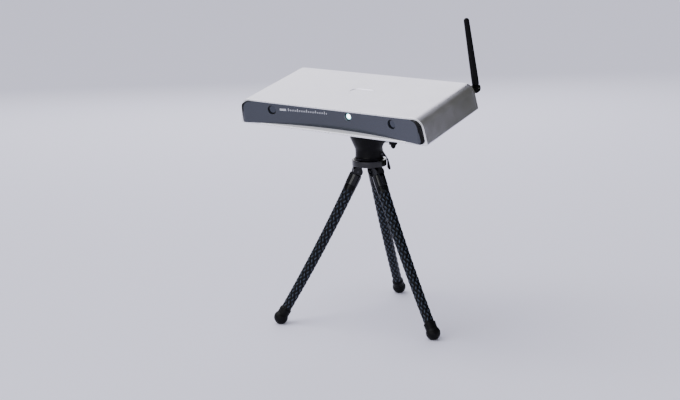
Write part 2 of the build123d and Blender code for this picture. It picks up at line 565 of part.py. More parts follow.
with BuildPart() as cover_screws:
    with BuildSketch(Plane.XZ.offset(-(CASE_D - 0.2))):
        with Locations(*BOSSES):
            Circle(SCREW_HEAD_R - 0.1)
    extrude(amount=SCREW_HEAD_H - 0.2)
    with BuildSketch(Plane.XZ.offset(-(CASE_D - SCREW_HEAD_H))):
        with Locations(*BOSSES):
            Circle(SCREW_R)
    extrude(amount=14)
    with BuildSketch(Plane.XZ.offset(-(CASE_D - 0.2))):
        with Locations(*BOSSES):
            RegularPolygon(1.2, 6)
    extrude(amount=1.0, mode=Mode.SUBTRACT)
write(cover_screws.part, "cover_screws", CASE)

# ================================================================ tray and optics
with BuildPart() as chassis_tray:
    with BuildSketch(Plane.XY.offset(WALL)):
        with Locations((0, (TRAY_FRONT + TRAY_BACK) / 2)):
            Rectangle(TRAY_W, TRAY_BACK - TRAY_FRONT)
        with Locations((THREAD_X, THREAD_Y)):
            Circle(INSERT_FLANGE_R + 0.5, mode=Mode.SUBTRACT)
    extrude(amount=TRAY_T)
    with BuildSketch(Plane.XY.offset(TRAY_TOP)):
        with Locations(*BOARD_SCREWS):
            Circle(3.0)
    extrude(amount=BOARD_Z - TRAY_TOP)
    with BuildSketch(Plane.XY.offset(WALL)):
        with Locations(*BOARD_SCREWS):
            Circle(SCREW_R)
        with Locations(*BAR_SCREWS):
            Circle(SCREW_R)
    extrude(amount=BOARD_Z, mode=Mode.SUBTRACT)
write(chassis_tray.part, "chassis_tray", CASE)

with BuildPart() as optics_bar:
    with BuildSketch(Plane.XY.offset(TRAY_TOP)):
        with BuildLine():
            near_y, far_y = face_y(BAR_HALF, BAR_NEAR), face_y(BAR_HALF, BAR_FAR)
            near = ThreePointArc((-BAR_HALF, near_y), (0, face_y(0, BAR_NEAR)), (BAR_HALF, near_y))
            far = ThreePointArc((-BAR_HALF, far_y), (0, face_y(0, BAR_FAR)), (BAR_HALF, far_y))
            Line(near @ 0, far @ 0)
            Line(near @ 1, far @ 1)
        make_face()
    extrude(amount=BAR_TOP - TRAY_TOP)
    with BuildSketch(Plane.XY.offset(TRAY_TOP)):
        with Locations(*[(x, y - 5) for x, y in BAR_SCREWS]):
            Rectangle(14, 18)
    extrude(amount=BAR_FOOT_T)
    with BuildSketch(Plane.XY.offset(TRAY_TOP)):
        with Locations(*BAR_SCREWS):
            Circle(SCREW_R)
    extrude(amount=BAR_FOOT_T, mode=Mode.SUBTRACT)
    for x in OPTICS.values():
        with BuildSketch(aimed(x, 0)):
            Circle(CAMERA_BARREL_R)
        extrude(amount=-25, mode=Mode.SUBTRACT)
    with BuildSketch(aimed(PROJECTOR_X, 0)):
        Circle(PROJECTOR_BARREL_R)
    extrude(amount=-25, mode=Mode.SUBTRACT)
write(optics_bar.part, "optics_bar", CASE)

for side, x in OPTICS.items():
    with BuildPart() as camera_barrel:
        with BuildSketch(aimed(x, BARREL_SINK)):
            Circle(CAMERA_BARREL_R)
        extrude(amount=-(BAR_FAR - BARREL_SINK))
        with BuildSketch(aimed(x, BAR_FAR)):
            Rectangle(HOLDER_W, HOLDER_W)
        extrude(amount=-HOLDER_L)
        with BuildSketch(aimed(x, BARREL_SINK)):
            Circle(LENS_R)
        extrude(amount=-(LENS_SINK - BARREL_SINK + LENS_T), mode=Mode.SUBTRACT)
        with BuildSketch(aimed(x, BARREL_SINK)):
            Circle(LENS_R - 1.5)
        extrude(amount=-(BAR_FAR + HOLDER_L - BARREL_SINK), mode=Mode.SUBTRACT)
    write(camera_barrel.part, f"camera_barrel_{side}", CASE)

    with BuildPart() as camera_lens:
        with BuildSketch(aimed(x, LENS_SINK + LENS_T)):
            Circle(LENS_R)
        extrude(amount=LENS_T)
        fillet(camera_lens.edges().filter_by(GeomType.CIRCLE).sort_by(Axis.Y)[0], 0.6)
    write(camera_lens.part, f"camera_lens_{side}", CASE)

    with BuildPart() as camera_board:
        with BuildSketch(aimed(x, BAR_FAR + HOLDER_L, OPTIC_Z - 3)):
            Rectangle(CAMERA_BOARD_W, CAMERA_BOARD_H)
        extrude(amount=-CAMERA_BOARD_T)
        with BuildSketch(aimed(x, BAR_FAR + HOLDER_L)):  # image sensor, inside the holder
            Rectangle(4.4, 4.4)
        extrude(amount=0.9)
        with BuildSketch(aimed(x, BAR_FAR + HOLDER_L + CAMERA_BOARD_T, CAMERA_CABLE_Z)):  # cable socket
            Rectangle(9, 5)
        extrude(amount=-CAMERA_SOCKET_T)
    write(camera_board.part, f"camera_board_{side}", CASE)

with BuildPart() as projector_barrel:
    with BuildSketch(aimed(PROJECTOR_X, BARREL_SINK)):
        Circle(PROJECTOR_BARREL_R)
    extrude(amount=-(BAR_FAR - BARREL_SINK))
    with BuildSketch(aimed(PROJECTOR_X, BARREL_SINK)):
        Circle(PROJECTOR_LENS_R)
    extrude(amount=-(LENS_SINK - BARREL_SINK + LENS_T), mode=Mode.SUBTRACT)
    with BuildSketch(aimed(PROJECTOR_X, BARREL_SINK)):
        Circle(PROJECTOR_LENS_R - 0.8)
    extrude(amount=-BAR_FAR, mode=Mode.SUBTRACT)
write(projector_barrel.part, "projector_barrel", CASE)

with BuildPart() as projector_lens:
    with BuildSketch(aimed(PROJECTOR_X, LENS_SINK + LENS_T)):
        Circle(PROJECTOR_LENS_R)
    extrude(amount=LENS_T)
    fillet(projector_lens.edges().filter_by(GeomType.CIRCLE).sort_by(Axis.Y)[0], 0.6)
write(projector_lens.part, "projector_lens", CASE)

with BuildPart() as projector_engine:
    with BuildSketch(aimed(PROJECTOR_X, BAR_FAR, ENGINE_LOW + ENGINE_H / 2)):
        RectangleRounded(ENGINE_W, ENGINE_H, 1.5)
    extrude(amount=-ENGINE_L)
write(projector_engine.part, "projector_engine", CASE)

with BuildPart() as projector_heat_sink:
    with BuildSketch(aimed(PROJECTOR_X, BAR_FAR + ENGINE_L, ENGINE_LOW + ENGINE_H / 2)):
        Rectangle(ENGINE_W, ENGINE_H)
    extrude(amount=-SINK_BASE)
    with BuildSketch(aimed(PROJECTOR_X, BAR_FAR + ENGINE_L + SINK_BASE, ENGINE_LOW + ENGINE_H / 2)):
        with GridLocations(SINK_PITCH, 1, int(ENGINE_W / SINK_PITCH), 1):
            Rectangle(SINK_FIN_T, ENGINE_H)
    extrude(amount=-SINK_FIN_L)
write(projector_heat_sink.part, "projector_heat_sink", CASE)

# ================================================================ electronics
with BuildPart() as main_board:
    with BuildSketch(Plane.XY.offset(BOARD_Z)):
        with Locations(((BOARD_LEFT + BOARD_RIGHT) / 2, (BOARD_FRONT + BOARD_BACK) / 2)):
            RectangleRounded(BOARD_RIGHT - BOARD_LEFT, BOARD_BACK - BOARD_FRONT, 2.0)
        with Locations(*BOARD_SCREWS):
            Circle(SCREW_R + 0.15, mode=Mode.SUBTRACT)
    extrude(amount=BOARD_T)
    with BuildSketch(Plane.XY.offset(BOARD_TOP)):
        with Locations((CHIP_X, CHIP_Y)):
            Rectangle(23, 23)  # processor
        with Locations((CHIP_X + 28, CHIP_Y + 6), (CHIP_X + 28, CHIP_Y - 9)):
            Rectangle(9, 12)  # memory
        with Locations((CHIP_X - 33, CHIP_Y + 10)):
            Rectangle(10, 10)  # power supply choke
    extrude(amount=1.4)
    with BuildSketch(Plane.XY.offset(BOARD_TOP)):
        with Locations(*CABLE_ENDS):
            Rectangle(7, 7)
    extrude(amount=CABLE_SOCKET_H)
write(main_board.part, "main_board", CASE)

with BuildPart() as tray_screws:
    for seat, places in ((TRAY_TOP + BAR_FOOT_T, BAR_SCREWS), (BOARD_TOP, BOARD_SCREWS)):
        with BuildSketch(Plane.XY.offset(seat)):
            with Locations(*places):
                Circle(2.4)
        extrude(amount=1.6)
        with BuildSketch(Plane.XY.offset(seat)):
            with Locations(*places):
                Circle(SCREW_R)
        extrude(amount=-5)
write(tray_screws.part, "tray_screws", CASE)

with BuildPart() as heat_spreader:
    with BuildSketch(Plane.XY.offset(BOARD_TOP + 1.4)):
        with Locations((CHIP_X, CHIP_Y)):
            Rectangle(SPREADER_W, SPREADER_W)
    extrude(amount=2)
    with BuildSketch(Plane.XY.offset(BOARD_TOP + 3.4)):
        with Locations((CHIP_X, CHIP_Y)):
            with GridLocations(SINK_PITCH, 1, int(SPREADER_W / SINK_PITCH), 1):
                Rectangle(SINK_FIN_T, SPREADER_W)
    extrude(amount=SPREADER_H - 2)
write(heat_spreader.part, "heat_spreader", CASE)

with BuildPart() as ethernet_jack:
    with Locations((ETHERNET_X, PORT_FACE - ETHERNET_L / 2, BOARD_TOP)):
        Box(ETHERNET_W, ETHERNET_L, ETHERNET_H, align=UPRIGHT)
    with BuildSketch(Plane.XZ.offset(-PORT_FACE)):
        with Locations((ETHERNET_X, BOARD_TOP + 6.4)):
            Rectangle(11.8, 6.8)
        with Locations((ETHERNET_X, BOARD_TOP + 2.4)):
            Rectangle(6.2, 2.2)
        with Locations((ETHERNET_X, BOARD_TOP + 1.6)):
            Rectangle(4.2, 1.4)
    extrude(amount=14, mode=Mode.SUBTRACT)
write(ethernet_jack.part, "ethernet_jack", CASE)

with BuildPart() as usb_port:
    with Locations((USB_X, PORT_FACE - USB_L / 2, BOARD_TOP)):
        Box(USB_W, USB_L, USB_H, align=UPRIGHT)
    with BuildSketch(Plane.XZ.offset(-PORT_FACE)):
        with Locations((USB_X, BOARD_TOP + USB_H / 2)):
            Rectangle(8.5, 7.8)
            Rectangle(5.6, 3.2, mode=Mode.SUBTRACT)
    extrude(amount=9, mode=Mode.SUBTRACT)
write(usb_port.part, "usb_port", CASE)

with BuildPart() as dc_jack:
    with BuildSketch(Plane.XZ.offset(-PORT_FACE)):
        with Locations((DC_X, PORT_Z)):
            Circle(DC_R)
    extrude(amount=DC_L)
    with Locations((DC_X, PORT_FACE - DC_L + 3, BOARD_TOP)):
        Box(9, 8, PORT_Z - BOARD_TOP, align=UPRIGHT)
    with BuildSketch(Plane.XZ.offset(-PORT_FACE)):
        with Locations((DC_X, PORT_Z)):
            Circle(2.8)
            Circle(DC_PIN_R, mode=Mode.SUBTRACT)
    extrude(amount=9.5, mode=Mode.SUBTRACT)
write(dc_jack.part, "dc_jack", CASE)

with BuildPart() as power_button:
    with BuildSketch(Plane.XZ.offset(-(CASE_D + BUTTON_PROUD))):
        with Locations((BUTTON_X, PORT_Z)):
            Circle(BUTTON_R)
    extrude(amount=BUTTON_PROUD + COVER_WALL + 1.6)
    with BuildSketch(Plane.XZ.offset(-(CASE_D - COVER_WALL - 0.1))):
        with Locations((BUTTON_X, PORT_Z)):
            Circle(BUTTON_R + 1.2)
    extrude(amount=1.5)
    fillet(power_button.edges().sort_by(Axis.Y)[-1], 0.5)
write(power_button.part, "power_button", CASE)

with BuildPart() as button_switch:
    with Locations((BUTTON_X, BOARD_BACK + 0.5, BOARD_TOP)):
        Box(7, 7, 10.5, align=UPRIGHT)
    with BuildSketch(Plane.XZ.offset(-(BOARD_BACK + 4))):
        with Locations((BUTTON_X, PORT_Z)):
            Circle(1.7)
    extrude(amount=-(CASE_D - COVER_WALL - 1.6 - BUTTON_TRAVEL - 0.3 - BOARD_BACK - 4))
write(button_switch.part, "button_switch", CASE)

with BuildPart() as blower_housing:
    with Locations((BLOWER_X, BLOWER_Y, TRAY_TOP)):
        Box(BLOWER_W, BLOWER_W, BLOWER_H, align=UPRIGHT)
    with BuildSketch(Plane.XY.offset(TRAY_TOP + BLOWER_T)):
        with Locations((BLOWER_X, BLOWER_Y)):
            Circle(BLOWER_W / 2 - BLOWER_T)
        with Locations((BLOWER_X + BLOWER_W / 4, BLOWER_Y + BLOWER_W / 2)):
            Rectangle(BLOWER_W / 2 - 2 * BLOWER_T, BLOWER_W / 2)  # outlet, towards the rear vents
    extrude(amount=BLOWER_H - 2 * BLOWER_T, mode=Mode.SUBTRACT)
    with BuildSketch(Plane.XY.offset(TRAY_TOP + BLOWER_H - BLOWER_T)):
        with Locations((BLOWER_X, BLOWER_Y)):
            Circle(ROTOR_R - 4)  # inlet
    extrude(amount=BLOWER_T, mode=Mode.SUBTRACT)
    with BuildSketch(Plane.XY.offset(TRAY_TOP)):
        with Locations((BLOWER_X, BLOWER_Y)):
            Circle(AXLE_R)
    extrude(amount=BLOWER_H - 3)
write(blower_housing.part, "blower_housing", CASE)

with BuildPart() as blower_rotor:
    with BuildSketch(Plane.XY.offset(TRAY_TOP + BLOWER_T + 0.8)):
        with Locations((BLOWER_X, BLOWER_Y)):
            Circle(ROTOR_HUB_R)
            with PolarLocations((ROTOR_R + ROTOR_HUB_R) / 2 - 1.0, ROTOR_BLADES):
                Rectangle(ROTOR_R - ROTOR_HUB_R, 0.8, rotation=24)
    extrude(amount=BLOWER_H - 2 * BLOWER_T - 2.0)
    with BuildSketch(Plane.XY.offset(TRAY_TOP)):
        with Locations((BLOWER_X, BLOWER_Y)):
            Circle(AXLE_R + RUNNING)
    extrude(amount=BLOWER_H - 2.5, mode=Mode.SUBTRACT)
write(blower_rotor.part, "blower_rotor", CASE)


def cable(route, radius):
    """A round cable along straight runs joined by arcs as large as the runs allow."""
    points = [Vector(p) for p in route]
    runs = [b - a for a, b in zip(points, points[1:])]
    bends = [
        0.45 * min(a.length, b.length) / tan(radians(a.get_angle(b)) / 2) for a, b in zip(runs, runs[1:])
    ]
    with BuildPart() as tube:
        with BuildLine():
            FilletPolyline(*points, radius=bends)
        with BuildSketch(Plane(points[0], z_dir=runs[0])):
            Circle(radius)
        sweep()
    print("cable bends", [round(bend, 1) for bend in bends])
    return tube.part


with BuildPart() as camera_cables:
    for side, route in CAMERA_ROUTES.items():
        socket = aimed(OPTICS[side], BAR_FAR + HOLDER_L + CAMERA_BOARD_T + CAMERA_SOCKET_T, CAMERA_CABLE_Z)
        first_run = [socket.origin, socket.origin - socket.z_dir * 5]
        add(cable(first_run + route, CAMERA_CABLE_R))
write(camera_cables.part, "camera_cables", CASE)
write(cable(ANTENNA_ROUTE, ANTENNA_LEAD_R), "antenna_lead", CASE)

# ================================================================ antenna
with BuildPart() as antenna_jack:
    with BuildSketch(Plane.XZ.offset(-JACK_END)):
        with Locations((ANTENNA_X, ANTENNA_Z)):
            Circle(JACK_R)
    extrude(amount=JACK_END - JACK_TAIL)
    with BuildSketch(Plane.XZ.offset(-CASE_D)):
        with Locations((ANTENNA_X, ANTENNA_Z)):
            RegularPolygon(JACK_NUT_R, 6)
    extrude(amount=-2.0)
    with BuildSketch(Plane.XZ.offset(-(CASE_D - COVER_WALL))):
        with Locations((ANTENNA_X, ANTENNA_Z)):
            Circle(JACK_FLANGE_R)
    extrude(amount=1.6)
write(antenna_jack.part, "antenna_jack", CASE)

with BuildPart() as antenna_base:
    with BuildSketch(Plane.XZ.offset(ANTENNA_HINGE_Y - CASE_D - 2.4)):
        Circle(COUPLING_R)
        with PolarLocations(COUPLING_R + 0.35, 16):
            Circle(0.7, mode=Mode.SUBTRACT)
    extrude(amount=-9.0)
    with BuildSketch(Plane.XZ.offset(ANTENNA_HINGE_Y - CASE_D - 11.4)):
        Circle(EAR_R)
    extrude(amount=-3.6)
    with BuildSketch(Plane.YZ):
        Circle(EAR_R)
        with Locations((-EAR_R / 2 - 1.3, 0)):
            Rectangle(EAR_R + 2.6, 2 * EAR_R)
    extrude(amount=EAR_GAP / 2 + EAR_T, both=True)
    with BuildSketch(Plane.YZ):
        Circle(EAR_R + 1.4)
        Rectangle(2 * EAR_R, 2 * EAR_R + 1, align=(Align.MIN, Align.CENTER))
    extrude(amount=EAR_GAP / 2, both=True, mode=Mode.SUBTRACT)
    with BuildSketch(Plane.YZ):
        Circle(ANTENNA_PIN_R)
    extrude(amount=EAR_GAP + EAR_T, both=True, mode=Mode.SUBTRACT)
    with BuildSketch(Plane.XZ.offset(ANTENNA_HINGE_Y - CASE_D - 2.4)):
        Circle(JACK_R + RUNNING)
    extrude(amount=-(JACK_END - CASE_D - 2.4 + 0.3), mode=Mode.SUBTRACT)
write(antenna_base.part, "antenna_base", ANTENNA)

with BuildPart() as antenna_pin:
    Cylinder(ANTENNA_PIN_R, EAR_GAP + 2 * EAR_T, rotation=(0, 90, 0))
write(antenna_pin.part, "antenna_pin", ANTENNA)

with BuildPart() as antenna_whip:
    with BuildSketch(Plane.XZ):
        with BuildLine():
            tip_z = ANTENNA_L - WHIP_TIP_R
            Polyline((0, tip_z + WHIP_TIP_R), (0, EAR_R + 0.6), (WHIP_BASE_R, EAR_R + 0.6), (WHIP_BASE_R, 14))
            Line((WHIP_BASE_R, 14), (WHIP_TIP_R, tip_z))
            RadiusArc((WHIP_TIP_R, tip_z), (0, tip_z + WHIP_TIP_R), -WHIP_TIP_R)
        make_face()
    revolve(axis=Axis.Z)
    with BuildSketch(Plane.YZ):
        Circle(EAR_R - 0.4)
        Rectangle(1.5 * EAR_R, EAR_R + 1, align=(Align.CENTER, Align.MIN))
    extrude(amount=EAR_GAP / 2 - 0.2, both=True)
    with BuildSketch(Plane.YZ):
        Circle(ANTENNA_PIN_R + RUNNING)
    extrude(amount=EAR_GAP, both=True, mode=Mode.SUBTRACT)
write(antenna_whip.part, "antenna_whip", ANTENNA)
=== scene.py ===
import json
import math

import bmesh
import bpy
import numpy as np
from mathutils import Matrix, Vector


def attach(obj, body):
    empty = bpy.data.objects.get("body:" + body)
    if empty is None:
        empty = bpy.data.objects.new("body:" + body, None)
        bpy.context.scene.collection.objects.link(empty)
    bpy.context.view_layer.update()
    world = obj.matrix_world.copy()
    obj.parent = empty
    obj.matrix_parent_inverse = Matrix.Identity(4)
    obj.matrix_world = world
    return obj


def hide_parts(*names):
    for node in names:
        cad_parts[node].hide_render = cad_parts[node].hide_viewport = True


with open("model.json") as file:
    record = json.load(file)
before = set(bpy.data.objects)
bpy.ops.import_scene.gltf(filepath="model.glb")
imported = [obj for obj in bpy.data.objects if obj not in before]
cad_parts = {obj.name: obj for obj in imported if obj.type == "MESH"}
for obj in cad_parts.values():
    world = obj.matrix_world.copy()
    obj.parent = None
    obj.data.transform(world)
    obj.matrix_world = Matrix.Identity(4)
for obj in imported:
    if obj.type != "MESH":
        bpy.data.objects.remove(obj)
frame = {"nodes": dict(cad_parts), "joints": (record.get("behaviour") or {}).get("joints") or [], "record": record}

"""Looks of a tripod-mounted structured-light 3-D scanner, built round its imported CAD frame. Metres."""

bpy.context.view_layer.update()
MM = 0.001

# ---------------------------------------------------------------- the design's own sizes, as in the CAD
CASE_W, CASE_H = 272 * MM, 33 * MM
WALL, FLARE, TOP_R, FOOT_EDGE_R, INNER_FOOT_R = 2.5 * MM, math.radians(9), 13 * MM, 2.5 * MM, 4.5 * MM
SLEEVE_L = 118 * MM
THREAD_X, THREAD_Y = 2.5 * MM, 77 * MM
MARK_X, MARK_Y, MARK_W, MARK_D, MARK_DEPTH = 10 * MM, 62 * MM, 34 * MM, 16 * MM, 0.5 * MM
PANEL_T, PANEL_FIT = 3 * MM, 0.1 * MM
PANEL_SINK, PANEL_PROUD, PANEL_HALF = 9.5 * MM, 3.5 * MM, 125 * MM
ARC_R = (PANEL_HALF**2 + (PANEL_SINK + PANEL_PROUD) ** 2) / (2 * (PANEL_SINK + PANEL_PROUD))
FOCUS_Y = PANEL_SINK - ARC_R
OPTIC_Z, CAMERA_X, PROJECTOR_X = 20.5 * MM, 87 * MM, 22 * MM
CAMERA_HOLE_R, PROJECTOR_HOLE_R = 5.75 * MM, 4.6 * MM
FOOT_R, FOOT_CUT, LEG_BOW = 9 * MM, 1 * MM, math.radians(3)
SLEEVE_TOP_R, SLEEVE_END_R, SLEEVE_START, SLEEVE_END = 7.7 * MM, 6.5 * MM, 19 * MM, 198 * MM
SKIRT_R = SLEEVE_END_R + 1.1 * MM
CORE_R = 2 * MM

JOINTS = {joint["name"]: joint for joint in frame["joints"]}


# ---------------------------------------------------------------- frames
def axes_frame(origin, x_axis, z_axis):
    """A 4 x 4 matrix with its columns x, y = z cross x, z and the origin."""
    z = np.array(z_axis, float) / np.linalg.norm(z_axis)
    x = np.array(x_axis, float)
    x = x - z * (x @ z)
    x /= np.linalg.norm(x)
    placed = np.eye(4)
    placed[:3, 0], placed[:3, 1], placed[:3, 2], placed[:3, 3] = x, np.cross(z, x), z, origin
    return placed


def joint_axis(name):
    return np.array(JOINTS[name]["axis"], float)


def joint_place(name):
    return np.array(JOINTS[name]["pos_m"], float)


def put(points, placed):
    """Points of a local frame, as rows, moved into the object's frame."""
    points = np.asarray(points, float)
    return points @ placed[:3, :3].T + placed[:3, 3]


case_up = joint_axis("scanner_swivel")
case_back = -joint_axis("power_button_press")
case_right = np.cross(case_back, case_up)
CASE = axes_frame((0, 0, 0), case_right, case_up)
CASE[:3, 3] = joint_place("scanner_swivel") - CASE[:3, :3] @ np.array([THREAD_X, THREAD_Y, 0])
STAND = np.eye(4)
STAND[:2, 3] = joint_place("head_pan")[:2]


# ---------------------------------------------------------------- camera, light and floor
def set_camera():
    """The view: standing in front and to the right, looking slightly down through a short telephoto."""
    heading, pitch, roll = math.radians(34.97), math.radians(12.65), math.radians(-0.93)
    place = Vector((866.7 * MM, -1304.9 * MM, 507.6 * MM)) + Vector((STAND[0, 3], STAND[1, 3], 0))
    camera = bpy.data.objects.new("view_camera", bpy.data.cameras.new("view_camera"))
    bpy.context.collection.objects.link(camera)
    turn = Matrix.Rotation(heading, 4, "Z")
    turn = turn @ Matrix.Rotation(math.pi / 2 - pitch, 4, "X") @ Matrix.Rotation(roll, 4, "Z")
    camera.matrix_world = Matrix.Translation(place) @ turn
    camera.data.lens, camera.data.sensor_width = 67.0, 36.0
    camera.data.clip_end = 60
    bpy.context.scene.camera = camera


def area_light(name, place, aim, size, power, colour=(1, 1, 1)):
    lamp = bpy.data.objects.new(name, bpy.data.lights.new(name, "AREA"))
    bpy.context.collection.objects.link(lamp)
    lamp.location = place
    lamp.rotation_euler = (Vector(aim) - Vector(place)).to_track_quat("-Z", "Y").to_euler()
    lamp.data.shape = "RECTANGLE"
    lamp.data.size, lamp.data.size_y = size
    lamp.data.energy, lamp.data.color = power, colour


def stage_sheet(name, corners, colour, roughness):
    """One flat quad of the studio, with its own plain paint; returns the sheet and its shader."""
    mesh = bpy.data.meshes.new(name)
    mesh.from_pydata([tuple(corner) for corner in corners], [], [(0, 1, 2, 3)])
    sheet = bpy.data.objects.new(name, mesh)
    bpy.context.collection.objects.link(sheet)
    paint = bpy.data.materials.new(f"{name}_paint")
    paint.use_nodes = True
    shader = paint.node_tree.nodes["Principled BSDF"]
    shader.inputs["Base Color"].default_value = (*colour, 1)
    shader.inputs["Roughness"].default_value = roughness
    mesh.materials.append(paint)
    return sheet, shader


def set_studio():
    """A wide pale floor under an even pale sky, a broad window light, two soft boxes, and a dark flag on the
    far right that only shows in the case's gloss."""
    world = bpy.data.worlds.new("studio")
    world.use_nodes = True
    sky = world.node_tree.nodes["Background"]
    sky.inputs["Color"].default_value = (1.0, 1.0, 1.07, 1)
    sky.inputs["Strength"].default_value = 0.42
    bpy.context.scene.world = world

    reach = 14
    corners = [(-reach, -reach, 0), (reach, -reach, 0), (reach, reach, 0), (-reach, reach, 0)]
    floor, floor_shader = stage_sheet("floor", corners, (0.85, 0.845, 0.985), 0.8)
    floor_shader.inputs["Specular IOR Level"].default_value = 0.1

    sun = bpy.data.objects.new("window_light", bpy.data.lights.new("window_light", "SUN"))
    bpy.context.collection.objects.link(sun)
    sun.rotation_euler = Vector((0.55, 0.35, -1.0)).to_track_quat("-Z", "Y").to_euler()
    sun.data.energy, sun.data.angle, sun.data.color = 2.3, math.radians(55), (0.955, 0.955, 1.0)
    area_light("soft_box_back_left", (-1.15, 1.3, 1.25), (0, 0, 0.28), (2.2, 1.7), 20, (0.97, 0.96, 1.0))
    area_light("front_card", (0.25, -1.9, 0.55), (0, 0, 0.29), (1.6, 0.5), 12)

    half_across, middle = Vector((0.89, -0.45, 0)) * 0.40, Vector((0.30, 0.62, 0))
    low, high = Vector((0, 0, 0.02)), Vector((0, 0, 1.05))
    left, right = middle - half_across, middle + half_across
    corners = [left + low, right + low, right + high, left + high]
    flag, _ = stage_sheet("black_flag", corners, (0.034, 0.036, 0.016), 0.9)
    flag.visible_camera = flag.visible_shadow = flag.visible_diffuse = False


set_camera()
set_studio()


# ---------------------------------------------------------------- materials
class Finish:
    """A material under construction: one shader and the textures that vary it."""

    def __init__(self, name, colour, roughness, metallic=0.0, **sockets):
        self.material = bpy.data.materials.new(name)
        self.material.use_nodes = True
        self.tree = self.material.node_tree
        self.shader = self.tree.nodes["Principled BSDF"]
        self.shader.inputs["Base Color"].default_value = (*colour, 1)
        self.shader.inputs["Roughness"].default_value = roughness
        self.shader.inputs["Metallic"].default_value = metallic
        for socket, value in sockets.items():
            self.shader.inputs[socket.replace("_", " ")].default_value = value
        self.place = self.tree.nodes.new("ShaderNodeTexCoord").outputs["Object"]
        self.heights = []

    def node(self, kind, **settings):
        made = self.tree.nodes.new("ShaderNode" + kind)
        for key, value in settings.items():
            if key in made.inputs:
                made.inputs[key].default_value = value
            else:
                setattr(made, key, value)
        return made

    def link(self, source, target):
        self.tree.links.new(source, target)

    def noise(self, scale, detail=3.0, stretch=(1, 1, 1)):
        """Cloudy variation; scale is in repeats per metre, and stretch lengthens it along an axis."""
        mapping = self.node("Mapping")
        mapping.inputs["Scale"].default_value = stretch
        self.link(self.place, mapping.inputs["Vector"])
        cloud = self.node("TexNoise", Scale=scale, Detail=detail)
        self.link(mapping.outputs["Vector"], cloud.inputs["Vector"])
        return cloud.outputs["Fac"]

    def grains(self, scale):
        """Small rounded cells, as on moulded or blasted surfaces."""
        cells = self.node("TexVoronoi", Scale=scale)
        self.link(self.place, cells.inputs["Vector"])
        return cells.outputs["Distance"]

    def spread(self, source, low, high):
        """Maps a texture's 0 to 1 onto low to high."""
        ramp = self.node("MapRange")
        ramp.inputs["From Min"].default_value = 0.3
        ramp.inputs["From Max"].default_value = 0.7
        ramp.inputs["To Min"].default_value = low
        ramp.inputs["To Max"].default_value = high
        self.link(source, ramp.inputs["Value"])
        return ramp.outputs["Result"]

    def vary_roughness(self, source, low, high):
        self.link(self.spread(source, low, high), self.shader.inputs["Roughness"])

    def mix_colour(self, factor, low, high):
        """Drives the base colour from low to high by a factor of 0 to 1."""
        mix = self.node("Mix", data_type="RGBA")
        ends = [socket for socket in mix.inputs if socket.type == "RGBA"]
        ends[0].default_value, ends[1].default_value = (*low, 1), (*high, 1)
        self.link(factor, mix.inputs["Factor"])
        mixed = next(socket for socket in mix.outputs if socket.type == "RGBA")
        self.link(mixed, self.shader.inputs["Base Color"])

    def vary_colour(self, source, dark, light):
        self.mix_colour(self.spread(source, 0.0, 1.0), dark, light)

    def bump(self, source, distance, strength=1.0):
        """Adds a relief of the given depth in metres on top of any earlier one."""
        relief = self.node("Bump", Strength=strength, Distance=distance)
        self.link(source, relief.inputs["Height"])
        if self.heights:
            self.link(self.heights[-1].outputs["Normal"], relief.inputs["Normal"])
        self.heights.append(relief)
        self.link(relief.outputs["Normal"], self.shader.inputs["Normal"])
        return self


def silver_finish():
    """Bead-blasted, anodised aluminium: bright, satin, with a fine grain."""
    finish = Finish("silver_anodised", (0.79, 0.78, 0.86), 0.31, 1.0)
    finish.vary_roughness(finish.noise(60, 4), 0.28, 0.35)
    finish.vary_colour(finish.noise(14, 2), (0.775, 0.765, 0.845), (0.805, 0.792, 0.87))
    return finish.bump(finish.noise(5200, 2), 0.00002, 0.35).material


def cut_edge_finish():
    """The sleeve's front edge, cut bright and lacquered; its near-white, only partly metallic colour adds a
    painted highlight, so it shines from every side.
    """
    finish = Finish("silver_cut_edge", (0.95, 0.95, 0.98), 0.30, 0.35)
    finish.vary_roughness(finish.noise(400, 3), 0.25, 0.35)
    return finish.material


def panel_finish():
    """Blue-black acrylic under a hard gloss coat, with the faintest smears."""
    finish = Finish("panel_acrylic", (0.012, 0.018, 0.032), 0.16, 0.0, Coat_Weight=0.5, Coat_Roughness=0.06)
    finish.vary_roughness(finish.noise(35, 4, (1, 1, 3)), 0.13, 0.21)
    finish.vary_colour(finish.noise(9, 2), (0.0115, 0.017, 0.0305), (0.0135, 0.0195, 0.034))
    return finish.bump(finish.noise(90, 2), 0.00003, 0.1).material


def moulded_finish(name, colour, roughness, grain=2600, depth=0.00004, clear=0.0, shine=0.3):
    """Injection-moulded plastic with a spark-eroded grain and slightly shinier patches of wear."""
    finish = Finish(name, colour, roughness, Coat_Weight=clear, Coat_Roughness=0.12, Specular_IOR_Level=shine)
    lighter = tuple(min(1.0, channel * 1.3 + 0.0004) for channel in colour)
    finish.vary_roughness(finish.noise(55, 4), roughness - 0.06, roughness + 0.06)
    finish.vary_colour(finish.noise(70, 4), colour, lighter)
    return finish.bump(finish.grains(grain), depth, 0.5).material


def rubber_finish(name, colour, roughness, shine=0.35):
    """Rubber with a dull bloom."""
    finish = Finish(name, colour, roughness, 0.0, Specular_IOR_Level=shine)
    dusty = tuple(channel * 1.6 + 0.0006 for channel in colour)
    finish.vary_colour(finish.noise(120, 5), colour, dusty)
    finish.vary_roughness(finish.noise(300, 4), roughness - 0.07, roughness + 0.08)
    finish.bump(finish.noise(3000, 3), 0.00006, 0.5)
    return finish.material


